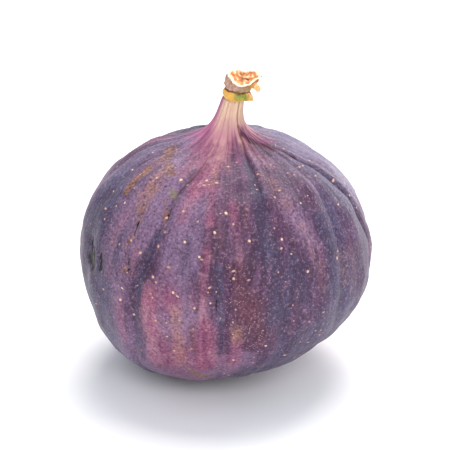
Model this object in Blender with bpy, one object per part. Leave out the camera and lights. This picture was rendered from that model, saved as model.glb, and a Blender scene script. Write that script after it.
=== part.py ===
"""A fresh fig: its ribbed fruit with the neck, the collar of bracts, the cut stalk and the eye.

The fig stands on a small flat spot round its eye. +Z is up, the front faces -Y, and the origin is
on the ground under the middle of the fruit.
"""
import math
import random

import bmesh
import bpy
import numpy as np

# ---- Driving dimensions, in millimetres and degrees ----
MM = 0.001
CORNER_ANGLE = 50.0

BODY_RADIUS = 29.0
BELLY_HEIGHT = 24.5
CROWN_RISE = 24.65
CROWN_POWER = 2.17
BASE_DROP = 24.95

# The neck leaves the crown at a latitude and sweeps up to its top
CROWN_LATITUDE = 69.4
NECK_LATITUDE = 110.0
NECK_TOP_RADIUS = 2.3
NECK_TOP_HEIGHT = 57.0
NECK_SWEEP_OUT = 6.6
NECK_SWEEP_UP = (0.6, 6.4)
NECK_SHOULDER = ((2.0, 57.32), (1.5, 57.45))

# The centre line: the neck leans to one side, and the foot of the body is set to the other
NECK_LEAN = 1.4
LEAN_START = 46.0
FOOT_SHIFT = -4.2
FOOT_SHIFT_TOP = 19.0
FOOT_BLEND = 12.0

# The recess of the eye, from its rim on the ground up to its ceiling: radius, height
EYE_RECESS = ((3.7, 0.0), (3.2, 0.85), (3.2, 1.7))

# The grooves between the ribs, laid out at these latitudes from the base up to the neck
GROOVE_LATITUDES = np.array((-60.0, -8.0, 26.0, 48.0, 68.0, 96.0))
GROOVE_REACH = np.array((30.0, 20.0, 14.0, 12.0, 12.0, 16.0))
GROOVE_STRENGTH = 1.4
# One row a groove: its bearing from the front at each latitude, its depth there, its crease power
FRONT_GROOVES = (
    ((-61, -56, -52, -50, -47, -48), (0.10, 0.15, 0.20, 0.25, 0.30, 0.20), 1.2),
    ((-45, -39, -32, -31, -24, -22), (0.40, 0.80, 0.55, 0.65, 0.55, 0.26), 1.0),
    ((-17, -17, -14, -12, -9, -5), (0.10, 0.18, 0.15, 0.25, 0.20, 0.12), 1.3),
    ((0, -2, 1, 5, 6, 9), (0.25, 0.55, 0.42, 0.08, 0.15, 0.22), 1.0),
    ((11, 10, 16, 20, 24, 36), (0.05, 0.10, 0.25, 0.42, 0.60, 0.30), 0.9),
    ((22, 22, 26, 29, 36, 50), (0.15, 0.30, 0.35, 0.35, 0.25, 0.12), 1.2),
    ((37, 36, 39, 43, 50, 60), (0.05, 0.12, 0.15, 0.15, 0.15, 0.08), 1.3),
    ((52, 51, 53, 57, 60, 68), (0.25, 0.45, 0.50, 0.40, 0.30, 0.18), 1.0),
    ((84, 82, 77, 74, 70, 79), (0.10, 0.30, 0.60, 0.75, 1.00, 0.36), 0.6),
    ((99, 95, 87, 83, 81, 94), (0.08, 0.20, 0.40, 0.55, 0.55, 0.24), 0.6),
)
SIDE_GROOVES = (
    ((-101, -98, -97, -98, -100, -102), (0.12, 0.30, 0.35, 0.30, 0.35, 0.20), 1.1),
    ((-81, -76, -73, -74, -75, -76), (0.10, 0.22, 0.30, 0.35, 0.35, 0.22), 1.0),
)
BACK_GROOVE_COUNT = 6
BACK_START = 99.0
BACK_END = 259.0
BACK_WANDER = 4.0
BACK_DEPTH = (0.15, 0.55)
BACK_FADES = ((0.25, 0.35), (0.7, 0.9), (0.5, 1.1), (0.9, 1.1), (0.8, 1.2), (0.4, 0.6))
BACK_CREASE = (0.8, 1.3)
BACK_SEED = 11
COLUMNS_PER_RIB = 5
BODY_ROWS = 31
NECK_ROWS = 8

# Broad lumps of the body: waves round it, amplitude, bearing of the crest, lean with latitude
BODY_LUMPS = ((2, 0.28, 95.0, 0.5), (3, 0.24, 60.0, 0.9), (5, 0.14, 70.0, -1.3))
# Flats pressed into it and one swelling, of negative depth: bearing, latitude, depth, reach
BODY_FLATS = ((40.0, -58.0, 0.7, 24.0), (-58.0, -38.0, -1.25, 32.0), (-66.0, 6.0, 0.4, 12.0),
              (150.0, 20.0, 0.4, 24.0), (-130.0, -15.0, 0.4, 24.0))

# The collar and the stalk stand on the neck's leaning axis
COLLAR_CENTRE = 2.05
COLLAR_BOTTOM = 57.42
COLLAR_HEIGHT = 1.3
COLLAR_BORE = 2.15
COLLAR_TILT = 9.0
BRACT_COUNT = 3
BRACT_BEARING = -25.0
BRACT_POINT = 1.3
BRACT_FULLNESS = 0.45
BRACT_LIP_SPREAD = 0.6
COLLAR_COLUMNS = 36
# Its section, from the top of the bore round to the top again: out, share of the height, how far
# a bract swells it out, how far a bract's tip lets it down
COLLAR_SECTION = (
    (0.0, 1.0, 0.0, 0.0),
    (0.0, 0.45, 0.0, 0.0),
    (0.30, 0.0, 0.05, -0.08),
    (0.48, 0.02, 0.34, -0.40),
    (0.62, 0.28, 0.40, -0.20),
    (0.50, 0.72, 0.15, 0.0),
    (0.25, 1.0, 0.0, 0.12),
)

STALK_COLUMNS = 32
# Rings of the stalk: centre x, height, radius across, radius front to back, tilt right, tilt front
STALK_RINGS = (
    (1.90, 57.80, 1.60, 1.60, 0.0, 0.0),
    (1.95, 58.30, 1.80, 1.80, 4.0, 0.0),
    (2.05, 58.75, 1.83, 1.83, 8.0, 2.0),
    (2.15, 59.35, 2.50, 2.20, 14.0, 4.0),
    (2.45, 60.05, 2.72, 2.30, 11.0, 9.0),
    (3.05, 60.80, 2.95, 2.40, 4.0, 14.0),
    (3.45, 61.45, 3.25, 2.70, 0.0, 18.0),
)
STALK_CORNERS = 3
STALK_LOBING = (0.0, 0.0, 0.02, 0.05, 0.09, 0.14, 0.17)
RIM_WIDTH = 0.65
RIM_CREST = 0.22
PITH_DEPTH = 0.45
PITH_SHARES = (0.72, 0.3)
HEART_DEPTH = 1.0
CLEFT_DEPTH = 0.24
CLEFT_SPREAD = 20.0
FLAP_ROOT = (5.0, -0.9, 60.5)
FLAP_TIP = (6.6, -1.5, 58.95)
FLAP_FACES = (0.3, -1.0, 0.4)
FLAP_WIDTH = 0.75
FLAP_THICKNESS = 0.45
# Sections along the flap, and along a scale of the eye: share of the length, share of the width
FLAP_SECTIONS = ((0.0, 1.0), (0.35, 1.0), (0.7, 0.85), (0.92, 0.55))
SCALE_SECTIONS = ((0.0, 0.95), (0.3, 1.0), (0.65, 0.72), (0.9, 0.3))
SMALL_SIDES = 8

# The eye: scales rooted at the edge of a thin disc, with their points towards the middle
EYE_DISC = (2.8, 0.95, 1.35)
EYE_SIDES = 28
EYE_WHORLS = ((7, 2.45, 0.95, 1.05, 0.0), (6, 1.75, 0.45, 0.85, 24.0), (3, 1.05, 0.05, 0.65, 50.0))
SCALE_LOWEST = 0.38
SCALE_STEP = 0.13
SCALE_STAGGER = 0.04
SCALE_THICKNESS = 0.3
SCALE_THIN_SHARE = 0.4

# Colours and roughness of the materials
SKIN_FINISH = ((0.10, 0.035, 0.085), 0.45)
BARK_FINISH = ((0.36, 0.20, 0.13), 0.7)
BRACT_FINISH = ((0.55, 0.38, 0.05), 0.5)
SCALE_FINISH = ((0.20, 0.07, 0.06), 0.6)


def smooth_step(edge_low, edge_high, value):
    """0 below the low edge and 1 above the high one, with a smooth run between them."""
    share = np.clip((value - edge_low) / (edge_high - edge_low), 0.0, 1.0)
    return share * share * (3.0 - 2.0 * share)


# ---- The fruit's smooth outline ----
def body_outline(latitude):
    """Radius and height of the round body, without its neck."""
    angle = np.radians(latitude)
    power = np.where(latitude > 0, 2.0 / CROWN_POWER, 1.0)
    rise = np.where(latitude > 0, CROWN_RISE, BASE_DROP)
    radius = BODY_RADIUS * np.cos(angle) ** power
    height = BELLY_HEIGHT + rise * np.sign(angle) * np.abs(np.sin(angle)) ** power
    return radius, height


def neck_outline(share):
    """Radius and height along the neck, from the crown (0) to its top (1), on one Bezier curve."""
    foot_r, foot_z = body_outline(CROWN_LATITUDE)
    before_r, before_z = body_outline(CROWN_LATITUDE - 1.0)
    run = math.hypot(foot_r - before_r, foot_z - before_z)
    out_r = foot_r + NECK_SWEEP_OUT * (foot_r - before_r) / run
    out_z = foot_z + NECK_SWEEP_OUT * (foot_z - before_z) / run
    up_r = NECK_TOP_RADIUS + NECK_SWEEP_UP[0]
    up_z = NECK_TOP_HEIGHT - NECK_SWEEP_UP[1]
    rest = 1.0 - share
    weights = (rest ** 3, 3 * rest ** 2 * share, 3 * rest * share ** 2, share ** 3)
    radius = sum(w * r for w, r in zip(weights, (foot_r, out_r, up_r, NECK_TOP_RADIUS)))
    height = sum(w * z for w, z in zip(weights, (foot_z, out_z, up_z, NECK_TOP_HEIGHT)))
    return radius, height


def outline(latitude):
    """Radius and height of the skin at a latitude: the body, then the neck above the crown."""
    latitude = np.asarray(latitude, dtype=float)
    body_r, body_z = body_outline(np.minimum(latitude, CROWN_LATITUDE))
    share = np.clip((latitude - CROWN_LATITUDE) / (NECK_LATITUDE - CROWN_LATITUDE), 0.0, 1.0)
    neck_r, neck_z = neck_outline(share)
    on_body = latitude <= CROWN_LATITUDE
    return np.where(on_body, body_r, neck_r), np.where(on_body, body_z, neck_z)


def outline_normal(latitude):
    """The outward direction of the smooth skin, as radius and height parts."""
    step = 0.5
    low_r, low_z = outline(latitude - step)
    high_r, high_z = outline(np.minimum(latitude + step, NECK_LATITUDE))
    length = np.hypot(high_r - low_r, high_z - low_z)
    return (high_z - low_z) / length, -(high_r - low_r) / length


def centre_line(height):
    """How far the middle of the fig stands to the right at a height."""
    lean = np.clip((height - LEAN_START) / (NECK_TOP_HEIGHT - LEAN_START), 0.0, None) ** 2
    foot = np.clip(1.0 - height / FOOT_SHIFT_TOP, 0.0, None) ** 2
    return NECK_LEAN * lean + FOOT_SHIFT * foot


# ---- The ribs ----
def groove_rows():
    """Bearings, depths and crease powers of all grooves, once round from the left side."""
    draw = random.Random(BACK_SEED)
    spacing = (BACK_END - BACK_START) / (BACK_GROOVE_COUNT + 1)
    back = []
    for number in range(BACK_GROOVE_COUNT):
        bearing = BACK_START + spacing * (number + 1)
        bearings = [bearing + draw.uniform(-BACK_WANDER, BACK_WANDER) for _ in GROOVE_LATITUDES]
        depth = draw.uniform(*BACK_DEPTH)
        fades = [draw.uniform(*fade) for fade in BACK_FADES]
        back.append((bearings, [depth * fade for fade in fades],
                     draw.uniform(*BACK_CREASE)))
    rows = list(SIDE_GROOVES) + list(FRONT_GROOVES) + back
    bearings = np.array([row[0] for row in rows], dtype=float)
    depths = np.array([row[1] for row in rows], dtype=float)
    return bearings, depths, np.array([row[2] for row in rows])


def station_weights(latitude):
    """How much each laid-out latitude counts at the latitudes given, one row each."""
    away = (np.asarray(latitude)[:, None] - GROOVE_LATITUDES[None, :]) / GROOVE_REACH
    weights = np.exp(-away ** 2) + 1e-9
    return weights / weights.sum(axis=1, keepdims=True)


def ribbed_skin(latitude, columns_per_rib):
    """Bearings of the columns and the height of the ribs there, for each latitude."""
    bearings, depths, creases = groove_rows()
    weights = station_weights(latitude)
    start = weights @ bearings.T
    end = np.concatenate((start[:, 1:], start[:, :1] + 360.0), axis=1)
    start_depth = weights @ depths.T
    end_depth = np.roll(start_depth, -1, axis=1)
    share = np.arange(columns_per_rib) / columns_per_rib
    bearing = start[:, :, None] + (end - start)[:, :, None] * share
    depth = start_depth[:, :, None] * (1.0 - share) + end_depth[:, :, None] * share
    power = creases[:, None] * (1.0 - share) + np.roll(creases, -1)[:, None] * share
    relief = -GROOVE_STRENGTH * depth * (1.0 - np.sin(math.pi * share) ** power[None, :, :])
    rows = len(latitude)
    return np.radians(bearing.reshape(rows, -1)), relief.reshape(rows, -1)


def body_lumps(bearing, latitude):
    """The broad unevenness of the body, which dies out at the neck and at the foot."""
    total = np.zeros_like(bearing)
    for waves, size, crest, lean in BODY_LUMPS:
        phase = np.radians(crest + lean * latitude)[:, None]
        total += size * np.cos(waves * bearing - phase)
    total *= np.clip(np.cos(np.radians(latitude)), 0.0, 1.0)[:, None]
    for centre, level, depth, reach in BODY_FLATS:
        turn = (bearing - math.radians(centre) + math.pi) % (2.0 * math.pi) - math.pi
        round_it = np.degrees(turn) * math.cos(math.radians(level))
        total -= depth * np.exp(-(round_it ** 2 + (latitude[:, None] - level) ** 2) / reach ** 2)
    return total


def skin_rings(latitude, columns_per_rib):
    """The skin's points, one ring a latitude, with the ribs and lumps standing out of it."""
    latitude = np.asarray(latitude, dtype=float)
    radius, height = outline(latitude)
    out, up = outline_normal(latitude)
    bearing, relief = ribbed_skin(latitude, columns_per_rib)
    foot = smooth_step(latitude[0], latitude[0] + FOOT_BLEND, latitude)[:, None]
    relief = (relief + body_lumps(bearing, latitude)) * foot
    ring_radius = radius[:, None] + out[:, None] * relief
    ring_height = height[:, None] + up[:, None] * relief
    x = ring_radius * np.sin(bearing) + centre_line(ring_height)
    y = -ring_radius * np.cos(bearing)
    return np.stack((x, y, ring_height), axis=2)


def foot_latitude():
    """The latitude at which the round base meets the ground."""
    return -math.degrees(math.asin(BELLY_HEIGHT / BASE_DROP))


def level_ring(bearing, radius, height, middle):
    """A plain level ring whose middle stands a little to the right."""
    x = radius * np.sin(bearing) + middle
    return np.stack((x, -radius * np.cos(bearing), np.full_like(bearing, height)), axis=1)


# ---- Mesh helpers ----
def add_point(bm, point):
    """A mesh point at a place given in millimetres."""
    return bm.verts.new(tuple(float(part) * MM for part in point))


def band(bm, lower, upper):
    """A band of faces between two rings of mesh points."""
    for here in range(len(lower)):
        after = (here + 1) % len(lower)
        bm.faces.new((lower[here], lower[after], upper[after], upper[here]))


def loft(bm, rings, pole_start, pole_end):
    """Join rings of points into one closed body, with a point closing each end."""
    rows = [[add_point(bm, point) for point in ring] for ring in rings]
    for lower, upper in zip(rows, rows[1:]):
        band(bm, lower, upper)
    for ring, pole in ((rows[0][::-1], pole_start), (rows[-1], pole_end)):
        tip = add_point(bm, pole)
        for here in range(len(ring)):
            bm.faces.new((ring[here], ring[(here + 1) % len(ring)], tip))


def smooth(mesh):
    """Shade the mesh smooth, with its real corners kept sharp."""
    mesh.shade_smooth()
    mesh.set_sharp_from_angle(angle=math.radians(CORNER_ANGLE))


def finish_object(name, bm, material):
    """Turn the mesh into a named object, with its faces pointing out and shaded smooth."""
    bmesh.ops.recalc_face_normals(bm, faces=bm.faces)
    mesh = bpy.data.meshes.new(name)
    bm.to_mesh(mesh)
    bm.free()
    smooth(mesh)
    mesh.materials.append(material)
    obj = bpy.data.objects.new(name, mesh)
    bpy.context.scene.collection.objects.link(obj)
    return obj


def material(name, colour, roughness):
    """A plain Principled finish."""
    made = bpy.data.materials.new(name)
    made.use_nodes = True
    shader = made.node_tree.nodes["Principled BSDF"]
    shader.inputs["Base Color"].default_value = (*colour, 1.0)
    shader.inputs["Roughness"].default_value = roughness
    shader.inputs["Metallic"].default_value = 0.0
    return made


# ---- The pieces ----
def build_fruit():
    """The fruit with its neck, the flat spot that it rests on and the recess of its eye."""
    foot = foot_latitude()
    body = np.linspace(foot, CROWN_LATITUDE, BODY_ROWS, endpoint=False)
    neck = np.linspace(CROWN_LATITUDE, NECK_LATITUDE, NECK_ROWS)
    rings = list(skin_rings(np.concatenate((body, neck)), COLUMNS_PER_RIB))
    base_bearing = ribbed_skin(np.array([foot]), COLUMNS_PER_RIB)[0][0]
    top_bearing = ribbed_skin(np.array([NECK_LATITUDE]), COLUMNS_PER_RIB)[0][0]
    for radius, height in EYE_RECESS:
        rings.insert(0, level_ring(base_bearing, radius, height, FOOT_SHIFT))
    for radius, height in NECK_SHOULDER:
        rings.append(level_ring(top_bearing, radius, height, NECK_LEAN))
    bm = bmesh.new()
    loft(bm, rings, rings[0].mean(axis=0), rings[-1].mean(axis=0))
    return finish_object("fruit", bm, material("fig_skin", *SKIN_FINISH))


def tilted_ring(centre, across, deep, lobing, tilt_right, tilt_front, columns):
    """A three-cornered ring with a cleft at its back, tilted to the right and to the front."""
    angle = np.arange(columns) * 2.0 * math.pi / columns
    back = (angle - math.pi / 2.0 + math.pi) % (2.0 * math.pi) - math.pi
    cleft = CLEFT_DEPTH * (lobing / STALK_LOBING[-1]) * np.exp(
        -(np.degrees(back) / CLEFT_SPREAD) ** 2)
    reach = 1.0 + lobing * np.cos(STALK_CORNERS * (angle + math.pi / 2.0)) - cleft
    x = across * reach * np.cos(angle)
    y = deep * reach * np.sin(angle)
    rise = -x * math.tan(math.radians(tilt_right)) + y * math.tan(math.radians(tilt_front))
    return np.stack((x + centre[0], y, rise + centre[1]), axis=1)


def shrink_ring(ring, share, drop):
    """The same ring drawn in towards its middle and let down."""
    middle = ring.mean(axis=0)
    drawn = middle + (ring - middle) * share
    drawn[:, 2] -= drop
    return drawn


def tongue(bm, root, tip, width, thickness):
    """A small tapering flap between two points, rounded across, with a blunt tip."""
    root, tip = np.array(root), np.array(tip)
    along = tip - root
    side = np.cross(along, FLAP_FACES)
    side /= np.linalg.norm(side)
    over = np.cross(side, along)
    over /= np.linalg.norm(over)
    angle = np.arange(SMALL_SIDES) * 2.0 * math.pi / SMALL_SIDES
    rings = []
    for share, swell in FLAP_SECTIONS:
        middle = root + along * share
        ring = [middle + side * width * swell * math.cos(a) + over * thickness * swell * math.sin(a)
                for a in angle]
        rings.append(ring)
    loft(bm, rings, root, tip)


def union_into(target, pieces):
    """Fuse loose pieces into the target body and remove them."""
    group = bpy.data.collections.new(target.name + "_pieces")
    for piece in pieces:
        group.objects.link(piece)
    joining = target.modifiers.new("fuse", "BOOLEAN")
    joining.operation = "UNION"
    joining.operand_type = "COLLECTION"
    joining.collection = group
    joining.solver = "EXACT"
    bpy.context.view_layer.update()
    graph = bpy.context.evaluated_depsgraph_get()
    fused = bpy.data.meshes.new_from_object(target.evaluated_get(graph))
    target.modifiers.clear()
    target.data = fused
    smooth(fused)
    for piece in pieces:
        bpy.data.objects.remove(piece)
    bpy.data.collections.remove(group)
    return target


def build_stalk():
    """The woody stub: it swells over the collar, leans right and ends in a torn, cut face."""
    rings = []
    for row, lobing in zip(STALK_RINGS, STALK_LOBING):
        x, z, across, deep, right, front = row
        rings.append(tilted_ring((x, z), across, deep, lobing, right, front, STALK_COLUMNS))
    rim = rings[-1]
    inner = 1.0 - RIM_WIDTH / STALK_RINGS[-1][2]
    rings.append(shrink_ring(rim, (1.0 + inner) / 2.0, -RIM_CREST))
    rings.append(shrink_ring(rim, inner, 0.0))
    for share in PITH_SHARES:
        rings.append(shrink_ring(rim, inner * share, PITH_DEPTH))
    heart = rim.mean(axis=0) - np.array((0.0, 0.0, HEART_DEPTH))
    bm = bmesh.new()
    loft(bm, rings, rings[0].mean(axis=0), heart)
    stalk = finish_object("stalk", bm, material("stalk_bark", *BARK_FINISH))
    bm = bmesh.new()
    tongue(bm, FLAP_ROOT, FLAP_TIP, FLAP_WIDTH, FLAP_THICKNESS)
    flap = finish_object("stalk_flap", bm, stalk.data.materials[0])
    return union_into(stalk, [flap])


def build_collar():
    """The ring of bracts: each is fullest and lowest at its own tip, with a notch between two."""
    angle = np.arange(COLLAR_COLUMNS) * 2.0 * math.pi / COLLAR_COLUMNS
    bearing = math.radians(BRACT_BEARING)
    lobe = (0.5 + 0.5 * np.cos(BRACT_COUNT * (angle + math.pi / 2.0 - bearing))) ** BRACT_POINT
    rise = -math.tan(math.radians(COLLAR_TILT))
    to_right = (angle + math.pi) % (2.0 * math.pi) - math.pi
    lip = np.exp(-(to_right / BRACT_LIP_SPREAD) ** 2)
    rings = []
    for out, up, swell, drop in COLLAR_SECTION:
        radius = COLLAR_BORE + out + swell * (BRACT_FULLNESS * lobe + lip)
        height = COLLAR_BOTTOM + up * COLLAR_HEIGHT + drop * lobe
        x = radius * np.cos(angle)
        y = radius * np.sin(angle)
        rings.append(np.stack((x + COLLAR_CENTRE, y, height + rise * x), axis=1))
    bm = bmesh.new()
    rows = [[add_point(bm, point) for point in ring] for ring in rings]
    for lower, upper in zip(rows, rows[1:] + rows[:1]):
        band(bm, lower, upper)
    return finish_object("bract_collar", bm, material("bract_green", *BRACT_FINISH))


def eye_scale(root_radius, tip_radius, width, bearing, low):
    """One pointed scale, widest at its root on the disc's edge and lowest at its tip."""
    angle = np.arange(SMALL_SIDES) * 2.0 * math.pi / SMALL_SIDES
    rings = []
    for share, swell in SCALE_SECTIONS:
        radius = root_radius + (tip_radius - root_radius) * share
        drop = low + (1.0 - share) ** 2 * SCALE_THICKNESS
        ring = []
        for a in angle:
            side = width * swell * math.cos(a)
            thick = SCALE_THIN_SHARE + (1.0 - SCALE_THIN_SHARE) * swell
            up = drop + SCALE_THICKNESS * (0.5 + 0.5 * math.sin(a)) * thick
            x = radius * math.sin(bearing) + side * math.cos(bearing)
            y = -radius * math.cos(bearing) + side * math.sin(bearing)
            ring.append((x + FOOT_SHIFT, y, up))
        rings.append(ring)
    bm = bmesh.new()
    ends = [np.mean(ring, axis=0) for ring in (rings[0], rings[-1])]
    loft(bm, rings, ends[0], ends[1])
    return bm


def build_eye():
    """The scales that close the eye, in whorls that overlap, fused to a thin disc."""
    radius, low, high = EYE_DISC
    bm = bmesh.new()
    bmesh.ops.create_cone(bm, cap_ends=True, segments=EYE_SIDES, radius1=radius * MM,
                          radius2=radius * MM, depth=(high - low) * MM)
    bmesh.ops.translate(bm, verts=bm.verts, vec=(FOOT_SHIFT * MM, 0.0, (low + high) / 2.0 * MM))
    finish = material("eye_scale", *SCALE_FINISH)
    eye = finish_object("eye_scales", bm, finish)
    pieces = []
    for level, (count, root, tip, width, turn) in enumerate(EYE_WHORLS):
        for number in range(count):
            bearing = math.radians(turn + 360.0 * number / count)
            low_edge = SCALE_LOWEST + SCALE_STEP * level + SCALE_STAGGER * (number % 2)
            scale = eye_scale(root, tip, width, bearing, low_edge)
            pieces.append(finish_object("scale_%d_%d" % (level, number), scale, finish))
    return union_into(eye, pieces)


def main():
    for old in list(bpy.data.objects):
        bpy.data.objects.remove(old)
    build_fruit()
    build_collar()
    build_stalk()
    build_eye()


main()
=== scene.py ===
import math
import random

import bpy
import mathutils
import numpy as np
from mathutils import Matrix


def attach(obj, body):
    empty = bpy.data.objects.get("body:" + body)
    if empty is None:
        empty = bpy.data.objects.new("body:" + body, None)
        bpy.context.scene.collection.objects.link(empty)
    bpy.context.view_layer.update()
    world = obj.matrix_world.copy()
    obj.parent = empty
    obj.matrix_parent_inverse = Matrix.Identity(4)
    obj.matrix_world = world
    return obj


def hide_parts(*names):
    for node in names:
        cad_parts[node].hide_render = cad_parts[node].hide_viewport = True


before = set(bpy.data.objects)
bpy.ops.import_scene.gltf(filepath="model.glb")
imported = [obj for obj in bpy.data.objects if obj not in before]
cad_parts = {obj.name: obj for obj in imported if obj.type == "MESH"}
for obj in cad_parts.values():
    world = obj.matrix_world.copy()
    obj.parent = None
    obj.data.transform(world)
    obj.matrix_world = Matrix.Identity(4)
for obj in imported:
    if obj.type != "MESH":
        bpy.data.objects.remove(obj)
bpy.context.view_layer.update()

# ---- The fruit ----
# One ripe fig with its neck: thin purple skin over soft flesh, drawn up in ribs from a round belly.
# It grew in one piece, so it is one closed skin, and it stands on a small flat ring round its eye.
MM = 0.001
BODY_RADIUS = 29.0
BELLY_HEIGHT = 24.5
CROWN_RISE = 24.65
CROWN_POWER = 2.17
BASE_DROP = 24.95
CROWN_LATITUDE = 69.4
NECK_LATITUDE = 110.0
NECK_TOP_RADIUS = 2.3
NECK_TOP_HEIGHT = 57.0
NECK_SWEEP_OUT = 6.6
NECK_SWEEP_UP = (0.6, 6.4)
NECK_SHOULDER = ((2.2, 57.2), (2.0, 57.32), (1.5, 57.45))
NECK_LEAN = 1.4
LEAN_START = 46.0
FOOT_SHIFT = -4.2
FOOT_SHIFT_TOP = 19.0
FOOT_BLEND = 12.0
EYE_RECESS = ((3.9, 0.0), (3.55, 0.08), (3.3, 0.35), (3.2, 0.85), (3.2, 1.55), (3.05, 1.7))
FOOT_LATITUDE = -math.degrees(math.asin(BELLY_HEIGHT / BASE_DROP))


def smooth_step(edge_low, edge_high, value):
    """0 below the low edge and 1 above the high one, with a smooth run between them."""
    share = np.clip((value - edge_low) / (edge_high - edge_low), 0.0, 1.0)
    return share * share * (3.0 - 2.0 * share)


def wrap_turn(angle):
    """An angle in radians brought to between minus and plus half a turn."""
    return (angle + math.pi) % (2.0 * math.pi) - math.pi


def body_outline(latitude):
    """Radius and height of the round body, without its neck."""
    angle = np.radians(latitude)
    power = np.where(latitude > 0, 2.0 / CROWN_POWER, 1.0)
    rise = np.where(latitude > 0, CROWN_RISE, BASE_DROP)
    radius = BODY_RADIUS * np.cos(angle) ** power
    height = BELLY_HEIGHT + rise * np.sign(angle) * np.abs(np.sin(angle)) ** power
    return radius, height


def neck_outline(share):
    """Radius and height along the neck, from the crown (0) to its top (1), on one Bezier curve."""
    foot_r, foot_z = body_outline(CROWN_LATITUDE)
    before_r, before_z = body_outline(CROWN_LATITUDE - 1.0)
    run = math.hypot(foot_r - before_r, foot_z - before_z)
    out_r = foot_r + NECK_SWEEP_OUT * (foot_r - before_r) / run
    out_z = foot_z + NECK_SWEEP_OUT * (foot_z - before_z) / run
    up_r = NECK_TOP_RADIUS + NECK_SWEEP_UP[0]
    up_z = NECK_TOP_HEIGHT - NECK_SWEEP_UP[1]
    rest = 1.0 - share
    weights = (rest ** 3, 3 * rest ** 2 * share, 3 * rest * share ** 2, share ** 3)
    radius = sum(w * r for w, r in zip(weights, (foot_r, out_r, up_r, NECK_TOP_RADIUS)))
    height = sum(w * z for w, z in zip(weights, (foot_z, out_z, up_z, NECK_TOP_HEIGHT)))
    return radius, height


def outline(latitude):
    """Radius and height of the smooth skin at a latitude: the body, then the neck."""
    body_r, body_z = body_outline(np.minimum(latitude, CROWN_LATITUDE))
    share = np.clip((latitude - CROWN_LATITUDE) / (NECK_LATITUDE - CROWN_LATITUDE), 0.0, 1.0)
    neck_r, neck_z = neck_outline(share)
    on_body = latitude <= CROWN_LATITUDE
    return np.where(on_body, body_r, neck_r), np.where(on_body, body_z, neck_z)


def outline_normal(latitude):
    """The outward direction of the smooth skin, as radius and height parts."""
    low_r, low_z = outline(latitude - 0.5)
    high_r, high_z = outline(np.minimum(latitude + 0.5, NECK_LATITUDE))
    length = np.hypot(high_r - low_r, high_z - low_z)
    return (high_z - low_z) / length, -(high_r - low_r) / length


def centre_line(height):
    """How far the middle of the fig stands to the right at a height."""
    lean = np.clip((height - LEAN_START) / (NECK_TOP_HEIGHT - LEAN_START), 0.0, None) ** 2
    foot = np.clip(1.0 - height / FOOT_SHIFT_TOP, 0.0, None) ** 2
    return NECK_LEAN * lean + FOOT_SHIFT * foot


# The grooves between the ribs: bearing from the front at each latitude, depth there, crease power
GROOVE_LATITUDES = np.array((-60.0, -8.0, 26.0, 48.0, 68.0, 96.0))
GROOVE_REACH = np.array((30.0, 20.0, 14.0, 12.0, 12.0, 16.0))
GROOVE_STRENGTH = 1.4
SIDE_GROOVES = (
    ((-101, -98, -97, -98, -100, -102), (0.12, 0.30, 0.35, 0.30, 0.35, 0.20), 1.1),
    ((-81, -76, -73, -74, -75, -76), (0.10, 0.22, 0.30, 0.35, 0.35, 0.22), 1.0),
)
FRONT_GROOVES = (
    ((-61, -56, -52, -50, -47, -48), (0.10, 0.15, 0.20, 0.25, 0.30, 0.20), 1.2),
    ((-45, -39, -32, -31, -24, -22), (0.40, 0.80, 0.55, 0.65, 0.55, 0.26), 1.0),
    ((-17, -17, -14, -12, -9, -5), (0.10, 0.18, 0.15, 0.25, 0.20, 0.12), 1.3),
    ((0, -2, 1, 5, 6, 9), (0.25, 0.55, 0.42, 0.08, 0.15, 0.22), 1.0),
    ((11, 10, 16, 20, 24, 36), (0.05, 0.10, 0.25, 0.42, 0.60, 0.30), 0.9),
    ((22, 22, 26, 29, 36, 50), (0.15, 0.30, 0.35, 0.35, 0.25, 0.12), 1.2),
    ((37, 36, 39, 43, 50, 60), (0.05, 0.12, 0.15, 0.15, 0.15, 0.08), 1.3),
    ((52, 51, 53, 57, 60, 68), (0.25, 0.45, 0.50, 0.40, 0.30, 0.18), 1.0),
    ((84, 82, 77, 74, 70, 79), (0.10, 0.30, 0.60, 0.75, 1.00, 0.36), 0.6),
    ((99, 95, 87, 83, 81, 94), (0.08, 0.20, 0.40, 0.55, 0.55, 0.24), 0.6),
)
BACK_GROOVE_COUNT = 6
BACK_START = 99.0
BACK_END = 259.0
BACK_WANDER = 4.0
BACK_DEPTH = (0.15, 0.55)
BACK_FADES = ((0.25, 0.35), (0.7, 0.9), (0.5, 1.1), (0.9, 1.1), (0.8, 1.2), (0.4, 0.6))
BACK_CREASE = (0.8, 1.3)
BACK_SEED = 11


def groove_rows():
    """Bearings, depths and crease powers of all grooves, once round from the left side."""
    draw = random.Random(BACK_SEED)
    spacing = (BACK_END - BACK_START) / (BACK_GROOVE_COUNT + 1)
    back = []
    for number in range(BACK_GROOVE_COUNT):
        bearing = BACK_START + spacing * (number + 1)
        bearings = [bearing + draw.uniform(-BACK_WANDER, BACK_WANDER) for _ in GROOVE_LATITUDES]
        depth = draw.uniform(*BACK_DEPTH)
        fades = [draw.uniform(*fade) for fade in BACK_FADES]
        back.append((bearings, [depth * fade for fade in fades],
                     draw.uniform(*BACK_CREASE)))
    rows = list(SIDE_GROOVES) + list(FRONT_GROOVES) + back
    bearings = np.array([row[0] for row in rows], dtype=float)
    depths = np.array([row[1] for row in rows], dtype=float)
    return bearings, depths, np.array([row[2] for row in rows])


GROOVE_BEARINGS, GROOVE_DEPTHS, GROOVE_CREASES = groove_rows()
RIB_COUNT = len(GROOVE_CREASES)


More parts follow.
